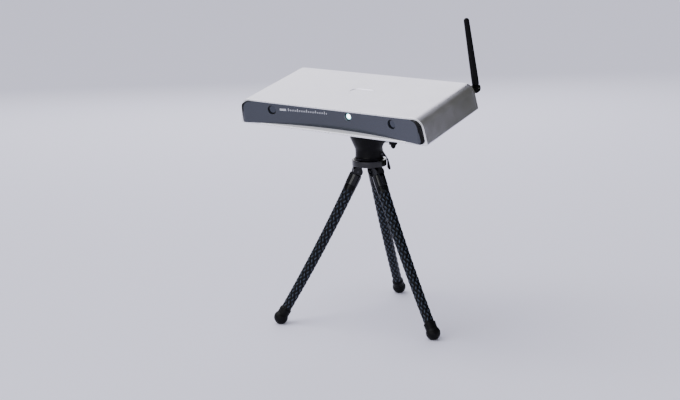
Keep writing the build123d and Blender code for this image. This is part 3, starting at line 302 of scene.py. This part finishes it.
def braid_finish(name, groove, crown):
    """Braided jacket: matt black in the grooves, with a blue-grey painted highlight on the strands' crowns."""
    finish = Finish(name, groove, 0.3, 0.0, Specular_IOR_Level=0.12)
    strands = finish.node("Attribute", attribute_name="strands").outputs["Fac"]
    # Spreads the strands attribute, a painted highlight, over the mix from groove black to crown blue-grey.
    painted_crown_highlight = finish.node("MapRange")
    painted_crown_highlight.inputs["From Min"].default_value, painted_crown_highlight.inputs["From Max"].default_value = 0.05, 0.85
    finish.link(strands, painted_crown_highlight.inputs["Value"])
    finish.mix_colour(painted_crown_highlight.outputs["Result"], groove, crown)
    finish.vary_roughness(finish.noise(300, 4), 0.20, 0.32)
    return finish.bump(finish.noise(3000, 3), 0.00005, 0.5).material


def metal_finish(name, colour, roughness, grain=(1, 1, 1), scale=700):
    """Bare or plated metal, brushed or turned along the stretched axis."""
    finish = Finish(name, colour, roughness, 1.0)
    finish.vary_roughness(finish.noise(scale, 3, grain), roughness * 0.75, roughness * 1.3)
    finish.vary_colour(finish.noise(40, 3), tuple(channel * 0.93 for channel in colour), colour)
    return finish.bump(finish.noise(scale * 2, 2, grain), 0.00002, 0.4).material


def gloss_finish(name, colour, roughness, shine=0.4):
    """Gloss paint on metal or plastic, with a little orange peel."""
    finish = Finish(name, colour, roughness, Coat_Weight=0.12, Coat_Roughness=0.05, Specular_IOR_Level=shine)
    finish.vary_roughness(finish.noise(80, 3), roughness - 0.05, roughness + 0.05)
    return finish.bump(finish.noise(420, 2), 0.00004, 0.12).material


def glass_finish(name, tint, roughness=0.02):
    """A coated lens: dark glass with a clear, slightly blue reflection."""
    finish = Finish(name, tint, roughness, IOR=1.5, Coat_Weight=0.35, Coat_Tint=(0.75, 0.85, 1.0, 1))
    finish.vary_roughness(finish.noise(500, 2), roughness, roughness + 0.02)
    return finish.material


# Along the glow's radius, as a share of the bore's: how far out, and the light's colour there.
GLOW_STOPS = [
    (0.0, (1, 1, 1)), (0.45, (0.85, 1.0, 1.0)), (0.7, (0.10, 0.34, 0.38)), (0.95, (0.004, 0.02, 0.024)),
    (1.0, (0.002, 0.01, 0.012)),
]


def glow_finish(name, node, power):
    """The projector's lamp behind its lens: white in the middle, cyan further out and dark at the rim, by
    distance from the lens's axis."""
    finish = Finish(name, (0.05, 0.09, 0.10), 0.1, 0.0, Emission_Strength=power)
    places = np.array([vertex.co for vertex in frame["nodes"][node].data.vertices])
    offset = finish.node("VectorMath", operation="SUBTRACT")
    offset.inputs[1].default_value = (places.min(axis=0) + places.max(axis=0)) / 2
    finish.link(finish.place, offset.inputs[0])
    across = finish.node("VectorMath", operation="CROSS_PRODUCT")
    across.inputs[1].default_value = case_back
    finish.link(offset.outputs["Vector"], across.inputs[0])
    distance = finish.node("VectorMath", operation="LENGTH")
    finish.link(across.outputs["Vector"], distance.inputs[0])
    share = finish.node("MapRange")
    share.inputs["From Max"].default_value = PROJECTOR_HOLE_R
    finish.link(distance.outputs["Value"], share.inputs["Value"])
    ramp = finish.node("ValToRGB")
    stops = ramp.color_ramp.elements
    for place, _ in GLOW_STOPS[1:-1]:
        stops.new(place)
    for stop, (_, colour) in zip(stops, GLOW_STOPS):
        stop.color = (*colour, 1)
    finish.link(share.outputs["Result"], ramp.inputs["Fac"])
    finish.link(ramp.outputs["Color"], finish.shader.inputs["Emission Color"])
    finish.vary_roughness(finish.noise(300, 2), 0.05, 0.15)
    return finish.material


def board_finish():
    """Green solder mask with the faint relief of its tracks."""
    finish = Finish("solder_mask", (0.012, 0.10, 0.045), 0.32, 0.0, Coat_Weight=0.4)
    finish.vary_colour(finish.grains(420), (0.010, 0.085, 0.038), (0.018, 0.13, 0.06))
    return finish.bump(finish.grains(420), 0.00005, 0.4).material


SLOT_OF = {entry["node"]: entry["material_slot"] for entry in frame["record"]["subparts"]}
PROJECTOR_NODE = next(node for node, material_slot in SLOT_OF.items() if material_slot == "projector_glass")

SILVER = silver_finish()
# The inner lip of the silver sleeve, near-white: a painted highlight for the light falling on this upward-facing
# shelf.
LIP_PAINTED_HIGHLIGHT = moulded_finish("sleeve_lip_painted_highlight", (0.92, 0.92, 0.96), 0.42, 5000, 0.000005, shine=0.5)
# The panel's rounded ends in near-black gloss: a painted dark reflection on the same acrylic.
END_PAINTED_REFLECTION = gloss_finish("panel_end_painted_reflection", (0.0012, 0.0012, 0.0015), 0.3, 0.1)
CUT_EDGE_PAINTED_HIGHLIGHT = cut_edge_finish()
PANEL = panel_finish()
HEAD = moulded_finish("head_moulding", (0.0008, 0.0008, 0.0011), 0.34, 2000, shine=0.10)
ANTENNA_BLACK = moulded_finish("antenna_moulding", (0.0008, 0.0008, 0.0012), 0.38, 3200, 0.00002, shine=0.10)
PORT = moulded_finish("port_moulding", (0.010, 0.010, 0.011), 0.38)
BUTTON = moulded_finish("button_moulding", (0.018, 0.018, 0.020), 0.35)
SEAT = moulded_finish("seat_acetal", (0.62, 0.62, 0.58), 0.4)
BARREL = moulded_finish("barrel_black", (0.006, 0.006, 0.007), 0.5, 4000, 0.00001)
COLLAR = gloss_finish("collar_gloss", (0.0010, 0.0010, 0.0016), 0.16, 0.35)
FERRULE = gloss_finish("ferrule_gloss", (0.0012, 0.0015, 0.0028), 0.20, 0.2)
BALL_BLACK = gloss_finish("ball_gloss", (0.012, 0.012, 0.014), 0.16)
# The second colour is the painted highlight on the braid's crowns; the first is the jacket's own black.
LEG_RUBBER = braid_finish("leg_jacket", (0.0004, 0.0005, 0.0010), (0.050, 0.066, 0.092))
FOOT_RUBBER = rubber_finish("foot_rubber", (0.0010, 0.0010, 0.0014), 0.42, shine=0.12)
PAD_RUBBER = rubber_finish("pad_rubber", (0.010, 0.010, 0.011), 0.6)
CABLE = rubber_finish("cable_jacket", (0.010, 0.010, 0.011), 0.45)
STEEL = metal_finish("zinc_steel", (0.60, 0.61, 0.63), 0.28)
BLACK_STEEL = metal_finish("black_oxide", (0.05, 0.05, 0.055), 0.36)
ALUMINIUM = metal_finish("milled_aluminium", (0.74, 0.75, 0.77), 0.30, (1, 8, 8))
BRASS = metal_finish("turned_brass", (0.80, 0.58, 0.24), 0.24)
TIN = metal_finish("tinned_shell", (0.70, 0.71, 0.72), 0.26, (1, 1, 6))
LENS = glass_finish("coated_lens", (0.012, 0.018, 0.032), 0.05)
GLOW = glow_finish("projector_glow", PROJECTOR_NODE, 9.0)
BOARD = board_finish()
PRINT = moulded_finish("print_white", (0.55, 0.56, 0.60), 0.55, 5000, 0.000005)

SLOT_FINISHES = {
    "case_silver": SILVER, "panel_gloss": PANEL, "black_screws": BLACK_STEEL,
    "brass": BRASS, "bright_metal": ALUMINIUM, "steel": STEEL, "barrel_black": BARREL, "lens_glass": LENS,
    "projector_glass": GLOW, "circuit_board": BOARD, "port_black": PORT, "port_metal": TIN,
    "button_black": BUTTON, "cable_black": CABLE, "antenna_black": ANTENNA_BLACK, "head_black": HEAD,
    "collar_gloss": COLLAR, "ball_black": BALL_BLACK, "seat_plastic": SEAT, "pad_rubber": PAD_RUBBER,
    "ferrule_black": FERRULE, "leg_rubber": LEG_RUBBER, "leg_wire": ALUMINIUM, "foot_rubber": FOOT_RUBBER,
}
BODY_OF = {node: body for body, nodes in frame["record"]["behaviour"]["bodies"].items() for node in nodes}
BLACKENED_PINS = ("leg_pins", "lever_pin")
for node_name, node_object in frame["nodes"].items():
    for material_slot in node_object.material_slots:
        blackened = node_name in BLACKENED_PINS
        material_slot.material = BLACK_STEEL if blackened else SLOT_FINISHES[SLOT_OF[node_name]]


# ---------------------------------------------------------------- making pieces
def grid_faces(rows, columns, wrap_rows=False, wrap_columns=False, start=0):
    """Quads of a rows x columns grid of points, joined to its start along a wrapped direction."""
    i = np.arange(rows if wrap_rows else rows - 1)[:, None]
    j = np.arange(columns if wrap_columns else columns - 1)[None, :]
    i2, j2 = (i + 1) % rows, (j + 1) % columns
    corners = (i * columns + j, i * columns + j2, i2 * columns + j2, i2 * columns + j)
    return np.stack(np.broadcast_arrays(*corners), -1).reshape(-1, 4) + start


def piece(name, node, points, faces, finishes, finish_of_face=None, sharp=35, weld=1e-6, strands=None):
    """Points and faces as a finished piece: doubles welded, normals outwards, smooth between its edges."""
    mesh = bpy.data.meshes.new(name)
    mesh.from_pydata(np.asarray(points).reshape(-1, 3).tolist(), [], np.asarray(faces).tolist())
    for finish in finishes:
        mesh.materials.append(finish)
    if finish_of_face is not None:
        mesh.polygons.foreach_set("material_index", np.asarray(finish_of_face, np.int32))
    # strands: a painted highlight per point, read by the braid's material.
    if strands is not None:
        shine = mesh.attributes.new("strands", "FLOAT", "POINT")
        shine.data.foreach_set("value", np.asarray(strands, float).ravel())
    work = bmesh.new()
    work.from_mesh(mesh)
    bmesh.ops.remove_doubles(work, verts=work.verts, dist=weld)
    bmesh.ops.dissolve_degenerate(work, edges=work.edges, dist=weld)
    bmesh.ops.recalc_face_normals(work, faces=work.faces)
    work.to_mesh(mesh)
    work.free()
    mesh.shade_smooth()
    mesh.set_sharp_from_angle(angle=math.radians(sharp))
    made = bpy.data.objects.new(name, mesh)
    bpy.context.collection.objects.link(made)
    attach(made, BODY_OF[node])
    return made


def replacing(made, *nodes):
    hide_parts(*nodes)
    return made


def rounded(corners, radius, steps=6):
    """An open outline's corners replaced by arcs: each arc is tangent to both of its sides."""
    corners = [np.array(corner, float) for corner in corners]
    out = [corners[0]]
    for before, here, after in zip(corners, corners[1:], corners[2:]):
        a, b = before - here, after - here
        la, lb = np.linalg.norm(a), np.linalg.norm(b)
        a, b = a / la, b / lb
        half = math.acos(np.clip(a @ b, -1, 1)) / 2
        r = min(radius, 0.49 * min(la, lb) * math.tan(half))
        reach = r / math.tan(half)
        middle = here + (a + b) / np.linalg.norm(a + b) * (r / math.sin(half))
        first, last = here + a * reach - middle, here + b * reach - middle
        sweep = math.atan2(first[0] * last[1] - first[1] * last[0], first @ last)
        for t in np.linspace(0, sweep, steps):
            turn = np.array([[math.cos(t), -math.sin(t)], [math.sin(t), math.cos(t)]])
            out.append(middle + turn @ first)
    out.append(corners[-1])
    return np.array(out)


def finished_copy(name, node, width):
    """A copy of a CAD node with its doubles merged and its edges softened by a small bevel."""
    source = frame["nodes"][node].data
    places = np.empty(len(source.vertices) * 3)
    source.vertices.foreach_get("co", places)
    corners = np.empty(len(source.loops), np.int32)
    source.loops.foreach_get("vertex_index", corners)
    made = piece(name, node, places, corners.reshape(-1, 3), [SLOT_FINISHES[SLOT_OF[node]]], sharp=30)
    work = bmesh.new()
    work.from_mesh(made.data)
    bmesh.ops.dissolve_limit(work, angle_limit=math.radians(0.4), verts=work.verts, edges=work.edges)
    work.to_mesh(made.data)
    work.free()
    soften = made.modifiers.new("softened_edges", "BEVEL")
    soften.width, soften.segments, soften.limit_method = width, 2, "ANGLE"
    soften.angle_limit = math.radians(32)
    soften.harden_normals = True
    return replacing(made, node)


# ---------------------------------------------------------------- legs
def leg_frame(number):
    """A leg's pin, its outward direction, and the lean and radius of the arc that its middle line follows."""
    pin = joint_place(f"leg_splay_{number}")
    mounts = {mount["name"]: mount for mount in frame["record"]["mounts"]}
    foot = np.array(mounts[f"foot_face_{number}"]["pos_m"], float) + np.array([0, 0, FOOT_R - FOOT_CUT])
    outward = foot - pin
    drop, outward[2] = -outward[2], 0
    reach = np.linalg.norm(outward)
    chord = math.hypot(reach, drop)
    arc_r = chord / (2 * math.sin(LEG_BOW))
    return {
        "pin": pin, "out": outward / reach, "foot": foot, "arc_r": arc_r,
        "start": math.atan2(reach, drop) - LEG_BOW, "length": arc_r * 2 * LEG_BOW,
    }


def leg_lines(leg, s):
    """Points on the middle line and the two directions across it, at distances s from the pin."""
    lean = leg["start"] + s / leg["arc_r"]
    up = np.array([0.0, 0.0, 1.0])
    x = leg["arc_r"] * (math.cos(leg["start"]) - np.cos(lean))
    z = -leg["arc_r"] * (np.sin(lean) - math.sin(leg["start"]))
    middle = leg["pin"] + x[:, None] * leg["out"] + z[:, None] * up
    across = np.cos(lean)[:, None] * leg["out"] + np.sin(lean)[:, None] * up
    side = np.broadcast_to(np.cross(up, leg["out"]), across.shape)
    return middle, across, side


BRAID_AROUND, BRAID_PITCH, BRAID_DEPTH = 8, 10.2 * MM, 1.0 * MM


def strand_phases(angle, s):
    """Phases of the two families of strands, which wind round the leg in opposite directions."""
    turned, wound = BRAID_AROUND * angle / 2, math.pi * s / BRAID_PITCH
    return turned + wound, turned - wound


def braid_relief(angle, s):
    """Diamonds of a braided jacket: depth |cos a|^p |cos b|^p, with a and b the strands' phases."""
    a, b = strand_phases(angle, s)
    crown = (np.abs(np.cos(a)) * np.abs(np.cos(b))) ** 0.6
    over = 0.12 * np.sin(a + b) * np.sin(a - b)
    return BRAID_DEPTH * (crown - 1 + over)


def strand_painted_highlight(angle, s):
    """Painted highlight on a strand's crown: strands a and b take turns on top, and each is brightest on its
    middle line, |cos a|^8 |cos b|^0.8 where a is on top and the other way round where b is."""
    a, b = (np.cos(phase) for phase in strand_phases(angle, s))
    upper, lower = np.where(a * b > 0, a, b), np.where(a * b > 0, b, a)
    return np.abs(upper) ** 8 * np.abs(lower) ** 0.8


def leg_sleeve(number):
    """A braided tube along the leg's arc: radius R plus the braid's relief outside, the wire's bore inside."""
    leg = leg_frame(number)
    bore = np.linspace(SLEEVE_END, SLEEVE_START, 30)
    outside = np.linspace(SLEEVE_START, SLEEVE_END, 352)
    s = np.concatenate([bore, outside])
    angle = np.linspace(0, 2 * math.pi, 88, endpoint=False)
    middle, across, side = leg_lines(leg, s)
    fade = np.clip((s - SLEEVE_START - 5 * MM) / (4 * MM), 0, 1) * np.clip((SLEEVE_END - s) / (3 * MM), 0, 1)
    share = ((s - SLEEVE_START) / (SLEEVE_END - SLEEVE_START))[:, None]
    taper = SLEEVE_TOP_R + (SLEEVE_END_R - SLEEVE_TOP_R) * share
    radius = taper + fade[:, None] * braid_relief(angle[None], s[:, None])
    radius[: len(bore)] = CORE_R
    ring = np.cos(angle)[None, :, None] * across[:, None] + np.sin(angle)[None, :, None] * side[:, None]
    points = middle[:, None] + radius[..., None] * ring
    # Painted highlight on the braid's crowns, faded out like the relief and zero along the bore.
    crowns = fade[:, None] * strand_painted_highlight(angle[None], s[:, None])
    crowns[: len(bore)] = 0
    faces = grid_faces(len(s), len(angle), wrap_rows=True, wrap_columns=True)
    node = f"leg_sleeve_{number}"
    made = piece(f"braided_sleeve_{number}", node, points, faces, [LEG_RUBBER], sharp=60, strands=crowns)
    return replacing(made, node)


def leg_turned(leg, profile, sides=72):
    """A profile of (radius, distance from the pin) carried round the leg's middle line."""
    profile = np.asarray(profile, float)
    angle = np.linspace(0, 2 * math.pi, sides, endpoint=False)
    middle, across, side = leg_lines(leg, profile[:, 1])
    ring = np.cos(angle)[None, :, None] * across[:, None] + np.sin(angle)[None, :, None] * side[:, None]
    points = middle[:, None] + profile[:, :1, None] * ring
    return points.reshape(-1, 3), grid_faces(len(profile), sides, wrap_columns=True)


def leg_foot(number):
    """A rubber cap: a skirt with two ribs, a ball with a mould line, and a flat where it stands."""
    leg = leg_frame(number)
    skirt, start, centre = SKIRT_R, SLEEVE_END, leg["length"]
    collar = [(0, start), (skirt - 0.2 * MM, start), (skirt, start + 1.5 * MM), (skirt, start + 3.4 * MM)]
    collar = rounded(collar, 0.8 * MM)
    ribs = np.linspace(start + 3.4 * MM, centre - 4.8 * MM, 16)
    ribs = np.stack([skirt - 0.25 * MM * np.sin(np.linspace(0, 2 * math.pi, 16)) ** 2, ribs], -1)
    swing = np.linspace(math.pi * 0.655, 0, 40)
    ball = np.stack([FOOT_R * np.sin(swing), centre + FOOT_R * np.cos(swing)], -1)
    ball[:, 0] += 0.12 * MM * np.exp(-(((swing - math.pi / 2) / 0.04) ** 2))
    points, faces = leg_turned(leg, np.concatenate([collar, ribs, ball]))
    points[:, 2] = np.maximum(points[:, 2], 0.0)
    made = piece(f"rubber_foot_{number}", f"leg_foot_{number}", points, faces, [FOOT_RUBBER], sharp=50)
    return replacing(made, f"leg_foot_{number}")


for leg_number in (1, 2, 3):
    leg_sleeve(leg_number)
    leg_foot(leg_number)
    finished_copy(f"leg_ferrule_piece_{leg_number}", f"leg_ferrule_{leg_number}", 0.0004)


# ---------------------------------------------------------------- case sleeve
def case_corners(inset):
    """Centres and radii of the section's right-hand corner arcs, offset inwards. Inside, the foot is rounder."""
    half, lean = CASE_W / 2, math.tan(FLARE)
    foot_r = FOOT_EDGE_R - inset if inset < 1 * MM else INNER_FOOT_R + WALL - inset
    top_z, foot_z = CASE_H - TOP_R, inset + foot_r
    top_c = (half - top_z * lean - TOP_R / math.cos(FLARE), top_z)
    foot_c = (half - foot_z * lean - (inset + foot_r) / math.cos(FLARE), foot_z)
    return top_c, TOP_R - inset, foot_c, foot_r


def case_outline(inset, top_x):
    """The case's section, offset inwards: four straight sides joined by arcs, as (x, z) rows, clockwise from
    the top left corner. Each corner is its arc's centre plus its radius times the turning normal."""
    top_c, top_r, foot_c, foot_r = case_corners(inset)
    turn_top = np.linspace(math.pi / 2, FLARE, 18)
    turn_foot = np.linspace(FLARE, -math.pi / 2, 10)
    right_top = np.stack([top_c[0] + top_r * np.cos(turn_top), top_c[1] + top_r * np.sin(turn_top)], -1)
    right_foot = np.stack([foot_c[0] + foot_r * np.cos(turn_foot), foot_c[1] + foot_r * np.sin(turn_foot)], -1)
    side = right_top[-1] + (right_foot[0] - right_top[-1]) * np.linspace(0, 1, 7)[1:-1, None]
    right = np.concatenate([right_top, side, right_foot])
    left = right[::-1] * [-1, 1]
    top = np.stack([top_x, np.full(len(top_x), CASE_H - inset)], -1)
    foot_x = np.linspace(1, -1, 40)[1:-1] * foot_c[0]
    foot = np.stack([foot_x, np.full(len(foot_x), inset)], -1)
    return np.concatenate([top, right, foot, left])


def mark_depth(x, y):
    """A shallow slot-shaped recess: its depth falls smoothly to zero across its edge, by distance from its
    middle line."""
    run = (MARK_W - MARK_D) / 2
    distance = np.hypot(np.maximum(np.abs(x - MARK_X) - run, 0), y - MARK_Y) - MARK_D / 2
    blend = np.clip(0.5 - distance / (0.9 * MM), 0, 1)
    return MARK_DEPTH * blend * blend * (3 - 2 * blend)


def case_sleeve():
    """The sleeve's wall: the section carried along a closed path of (inset, depth), with a cut front edge."""
    cut = 0.45 * MM
    near_mark = np.arange(MARK_X - MARK_W / 2 - 2 * MM, MARK_X + MARK_W / 2 + 2 * MM, 0.45 * MM)
    plain_left = np.linspace(-113 * MM, near_mark[0], 30)[:-1]
    plain_right = np.linspace(near_mark[-1], 113 * MM, 30)[1:]
    top_x = np.concatenate([plain_left, near_mark, plain_right])
    y_mark = np.arange(MARK_Y - MARK_D / 2 - 2 * MM, MARK_Y + MARK_D / 2 + 2 * MM, 0.45 * MM)
    before_mark, past_mark = np.linspace(cut, y_mark[0], 12), np.linspace(y_mark[-1], SLEEVE_L - 0.3 * MM, 12)
    outer_y = np.concatenate([before_mark[:-1], y_mark, past_mark[1:]])
    path = [(WALL, SLEEVE_L), (WALL, 60 * MM), (WALL, cut), (WALL - cut, 0.0), (cut * 0.8, 0.0), (0.0, cut)]
    path += [(0.0, y) for y in outer_y[1:]] + [(0.25 * MM, SLEEVE_L)]
    loops = []
    for inset, y in path:
        outline = case_outline(inset, top_x)
        loop = np.stack([outline[:, 0], np.full(len(outline), y), outline[:, 1]], -1)
        if inset == 0.0:
            loop[: len(top_x), 2] -= mark_depth(loop[: len(top_x), 0], loop[: len(top_x), 1])
        loops.append(loop)
    points = np.array(loops)
    rows, columns = points.shape[:2]
    faces = grid_faces(rows, columns, wrap_rows=True, wrap_columns=True)
    band = faces.min(axis=1) // columns
    last = faces.max(axis=1) // columns
    # Finish 1 on the cut front edge; finish 2, a painted highlight, on the inner lip from the front back to 60 mm.
    kind = np.where((band >= 2) & (last <= 5), 1, np.where((band == 1) & (last == 2), 2, 0))
    points = put(points.reshape(-1, 3), CASE)
    made = piece("silver_sleeve", "case_sleeve", points, faces, [SILVER, CUT_EDGE_PAINTED_HIGHLIGHT, LIP_PAINTED_HIGHLIGHT], kind, sharp=28)
    return replacing(made, "case_sleeve")


case_sleeve()


# ---------------------------------------------------------------- front panel
def panel_arc(s, back=0.0):
    """A point on the panel's face at arc length s from its middle: a circle about the focus."""
    return (ARC_R + back) * np.sin(s / ARC_R), FOCUS_Y + (ARC_R + back) * np.cos(s / ARC_R)


S_HALF = ARC_R * math.asin(PANEL_HALF / ARC_R)
PANEL_END_X = CASE_W / 2 - WALL


def end_curve(t):
    """The panel's rounded end beyond the arc: a circle tangent to the arc that returns to the sleeve."""
    start = np.array(panel_arc(S_HALF))
    along = np.array([math.cos(S_HALF / ARC_R), -math.sin(S_HALF / ARC_R)])
    normal = np.array([-along[1], along[0]])
    chord = np.array([PANEL_END_X, 4 * MM]) - start
    radius = (chord @ chord) / (2 * (chord @ normal))
    centre = start + normal * radius
    full = 2 * math.asin(np.linalg.norm(chord) / (2 * radius))
    angle = np.asarray(t) * full
    offset = -normal * radius
    x = centre[0] + offset[0] * np.cos(angle) - offset[1] * np.sin(angle)
    y = centre[1] + offset[0] * np.sin(angle) + offset[1] * np.cos(angle)
    return x, y


def panel_y(x):
    """The panel's plan: the arc in the middle and the rounded curve at each end, as y for a given x."""
    x = np.abs(np.asarray(x, float))
    t = np.linspace(0, 1, 200)
    end_x, end_y = end_curve(t)
    on_arc = FOCUS_Y + np.sqrt(ARC_R**2 - np.minimum(x, PANEL_HALF) ** 2)
    return np.where(x <= PANEL_HALF, on_arc, np.interp(x, end_x, end_y))


def half_width(z, inset):
    """Half the section's width at height z: the foot's arc, the slanted side, then the upper corner's arc."""
    top_c, top_r, foot_c, foot_r = case_corners(inset)
    z = np.asarray(z, float)
    side = CASE_W / 2 - z * math.tan(FLARE) - inset / math.cos(FLARE)
    foot = foot_c[0] + np.sqrt(np.maximum(foot_r**2 - (z - foot_c[1]) ** 2, 0))
    top = top_c[0] + np.sqrt(np.maximum(top_r**2 - (z - top_c[1]) ** 2, 0))
    below = z < foot_c[1] + foot_r * math.sin(FLARE)
    above = z > top_c[1] + top_r * math.sin(FLARE)
    return np.where(below, foot, np.where(above, top, side))


HOLES = [(-CAMERA_X, CAMERA_HOLE_R), (PROJECTOR_X, PROJECTOR_HOLE_R), (CAMERA_X, CAMERA_HOLE_R)]
PATCH = 7.5 * MM  # half side of the square of mesh that holds a round hole
PATCH_STEPS = 20
# Width of the panel's ends that carry the painted dark reflection.
END_STRIP_W = 3.4 * MM


def panel_lines():
    """The face's grid lines: arc lengths across, dense at each hole, and heights."""
    centres = [ARC_R * math.asin(x / ARC_R) for x, _ in HOLES]
    low, high = WALL + PANEL_FIT, CASE_H - WALL - PANEL_FIT
    edge = ARC_R * math.asin(100 * MM / ARC_R)
    stops = [-edge]
    lines = []
    for centre in centres:
        gap = centre - PATCH - stops[-1]
        lines.append(np.linspace(stops[-1], centre - PATCH, max(3, int(gap / (5 * MM))))[:-1])
        lines.append(np.linspace(centre - PATCH, centre + PATCH, PATCH_STEPS + 1)[:-1])
        stops.append(centre + PATCH)
    lines.append(np.linspace(stops[-1], edge, 4))
    curl = 1 - np.cos(np.linspace(0, math.pi / 2, 7))
    heights = np.concatenate([
        low + INNER_FOOT_R * curl[:-1],
        np.linspace(low + INNER_FOOT_R, OPTIC_Z - PATCH, 5)[:-1],
        np.linspace(OPTIC_Z - PATCH, OPTIC_Z + PATCH, PATCH_STEPS + 1)[:-1],
        high - (high - OPTIC_Z - PATCH) * curl[::-1],
    ])
    return np.concatenate(lines), heights, centres


def face_point(s, z, back=0.0):
    x, y = panel_arc(s, back)
    return np.stack(np.broadcast_arrays(x, y, z), -1)


def panel_point(x, z, back=0.0):
    """A point of the panel at x across and z up, pushed back along the arc's radius, but straight back at
    the ends."""
    x, z = np.broadcast_arrays(x, z)
    lean = np.arcsin(x / ARC_R) * np.clip((PANEL_HALF - np.abs(x)) / (25 * MM), 0, 1)
    return np.stack([x + back * np.sin(lean), panel_y(x) + back * np.cos(lean), z], -1)


def hole_rings(centre, radius):
    """Loops from a square of the front sheet round a lipped bore to the same square of the back sheet."""
    side = np.linspace(-PATCH, PATCH, PATCH_STEPS + 1)[:-1]
    square = np.concatenate([
        np.stack([side, np.full(PATCH_STEPS, -PATCH)], -1), np.stack([np.full(PATCH_STEPS, PATCH), side], -1),
        np.stack([-side, np.full(PATCH_STEPS, PATCH)], -1), np.stack([np.full(PATCH_STEPS, -PATCH), -side], -1),
    ])
    ray = square / np.linalg.norm(square, axis=1, keepdims=True)
    lip = 0.35 * MM
    spots = [(square * (1 - t) + ray * (radius + lip) * t, 0.0) for t in (0, 0.35, 0.65, 0.85, 1.0)]
    for turn in np.linspace(0, math.pi / 2, 4)[1:]:
        spots.append((ray * (radius + lip * (1 - math.sin(turn))), lip * (1 - math.cos(turn))))
    spots += [(square * (1 - t) + ray * radius * t, PANEL_T) for t in (1.0, 0.5, 0)]
    x = [ARC_R * np.sin((centre + spot[:, 0]) / ARC_R) for spot, _ in spots]
    return np.array([panel_point(across, OPTIC_Z + spot[:, 1], back) for across, (spot, back) in zip(x, spots)])


def front_panel():
    """A curved plate: a front and a back sheet of one grid, joined round the rim and through three bores."""
    across, heights, centres = panel_lines()
    inset = WALL + PANEL_FIT
    middle = ARC_R * np.sin(across / ARC_R)
    end = middle[-1] + (half_width(heights, inset)[:, None] - middle[-1]) * np.linspace(0, 1, 34)[1:] ** 0.8
    x = np.concatenate([-end[:, ::-1], np.broadcast_to(middle, (len(heights), len(middle))), end], axis=1)
    z = np.broadcast_to(heights[:, None], x.shape)
    rows, columns = x.shape
    quads = grid_faces(rows, columns)
    s_middle = (ARC_R * np.arcsin(x / ARC_R)).ravel()[quads].mean(axis=1)
    high_enough = np.abs(z.ravel()[quads].mean(axis=1) - OPTIC_Z) < PATCH
    in_hole = high_enough & (np.abs(s_middle[:, None] - np.array(centres)) < PATCH).any(axis=1)
    rim = np.concatenate([
        np.arange(columns), np.arange(1, rows) * columns + columns - 1,
        (rows - 1) * columns + np.arange(columns - 2, -1, -1), np.arange(rows - 2, 0, -1) * columns,
    ])
    total = rows * columns
    following = np.roll(rim, -1)
    points = [panel_point(x, z, back).reshape(-1, 3) for back in (0.0, PANEL_T)]
    edge_faces = np.stack([rim, following, following + total, rim + total], -1)
    faces = [quads[~in_hole], quads[~in_hole] + total, edge_faces]
    for (_, radius), centre in zip(HOLES, centres):
        rings = hole_rings(centre, radius)
        faces.append(grid_faces(*rings.shape[:2], wrap_columns=True, start=sum(len(block) for block in points)))
        points.append(rings.reshape(-1, 3))
    points, faces = np.concatenate(points), np.concatenate(faces)
    middles = points[faces].mean(axis=1)
    # Faces near the panel's rounded ends take the painted dark reflection.
    in_painted_reflection = half_width(middles[:, 2], inset) - np.abs(middles[:, 0]) < END_STRIP_W
    points = put(points, CASE)
    made = piece("panel_face", "front_panel", points, faces, [PANEL, END_PAINTED_REFLECTION], in_painted_reflection.astype(int), sharp=30)
    return replacing(made, "front_panel")


front_panel()


def ruler_marks():
    """A plain printed scale: one wide bar and a row of ticks on the panel's arc, every fifth tick taller, each
    a flat box from just above the face to just inside it."""
    starts = np.concatenate([[-76.0], np.arange(-64.0, -9.0, 2.6)]) * MM
    order = np.arange(len(starts))
    widths = np.where(order == 0, 9.0, 0.9) * MM
    tall = np.where(order == 0, 2.6, np.where(order % 5 == 1, 3.4, 2.0)) * MM
    low = 20.4 * MM
    corners, faces = [], []
    box = np.array([(0, 1, 3, 2), (4, 6, 7, 5), (0, 4, 5, 1), (2, 3, 7, 6), (0, 2, 6, 4), (1, 5, 7, 3)])
    for start, width, height in zip(starts, widths, tall):
        for s in (start, start + width):
            for z in (low, low + height):
                corners += [face_point(s, z, back) for back in (-0.05 * MM, 0.1 * MM)]
        faces.append(box + len(corners) - 8)
    piece("ruler_marks", "front_panel", put(np.array(corners), CASE), np.concatenate(faces), [PRINT])


ruler_marks()

# ---------------------------------------------------------------- CAD shapes with softened edges
SOFTENED = {  # node and bevel in millimetres
    "hub": 0.4, "hub_collar": 0.3, "head_cup": 0.5, "socket_ring": 0.3, "pan_lever": 0.4, "lock_wing": 0.5,
    "mount_plate": 0.3, "rear_cover": 0.25, "antenna_base": 0.2, "antenna_whip": 0.2, "power_button": 0.2,
    "ethernet_jack": 0.2, "usb_port": 0.2, "dc_jack": 0.2, "cover_screws": 0.2, "ball_stem": 0.2,
    "antenna_jack": 0.15,
}
for node_name, width in SOFTENED.items():
    finished_copy(f"{node_name}_piece", node_name, width * MM)
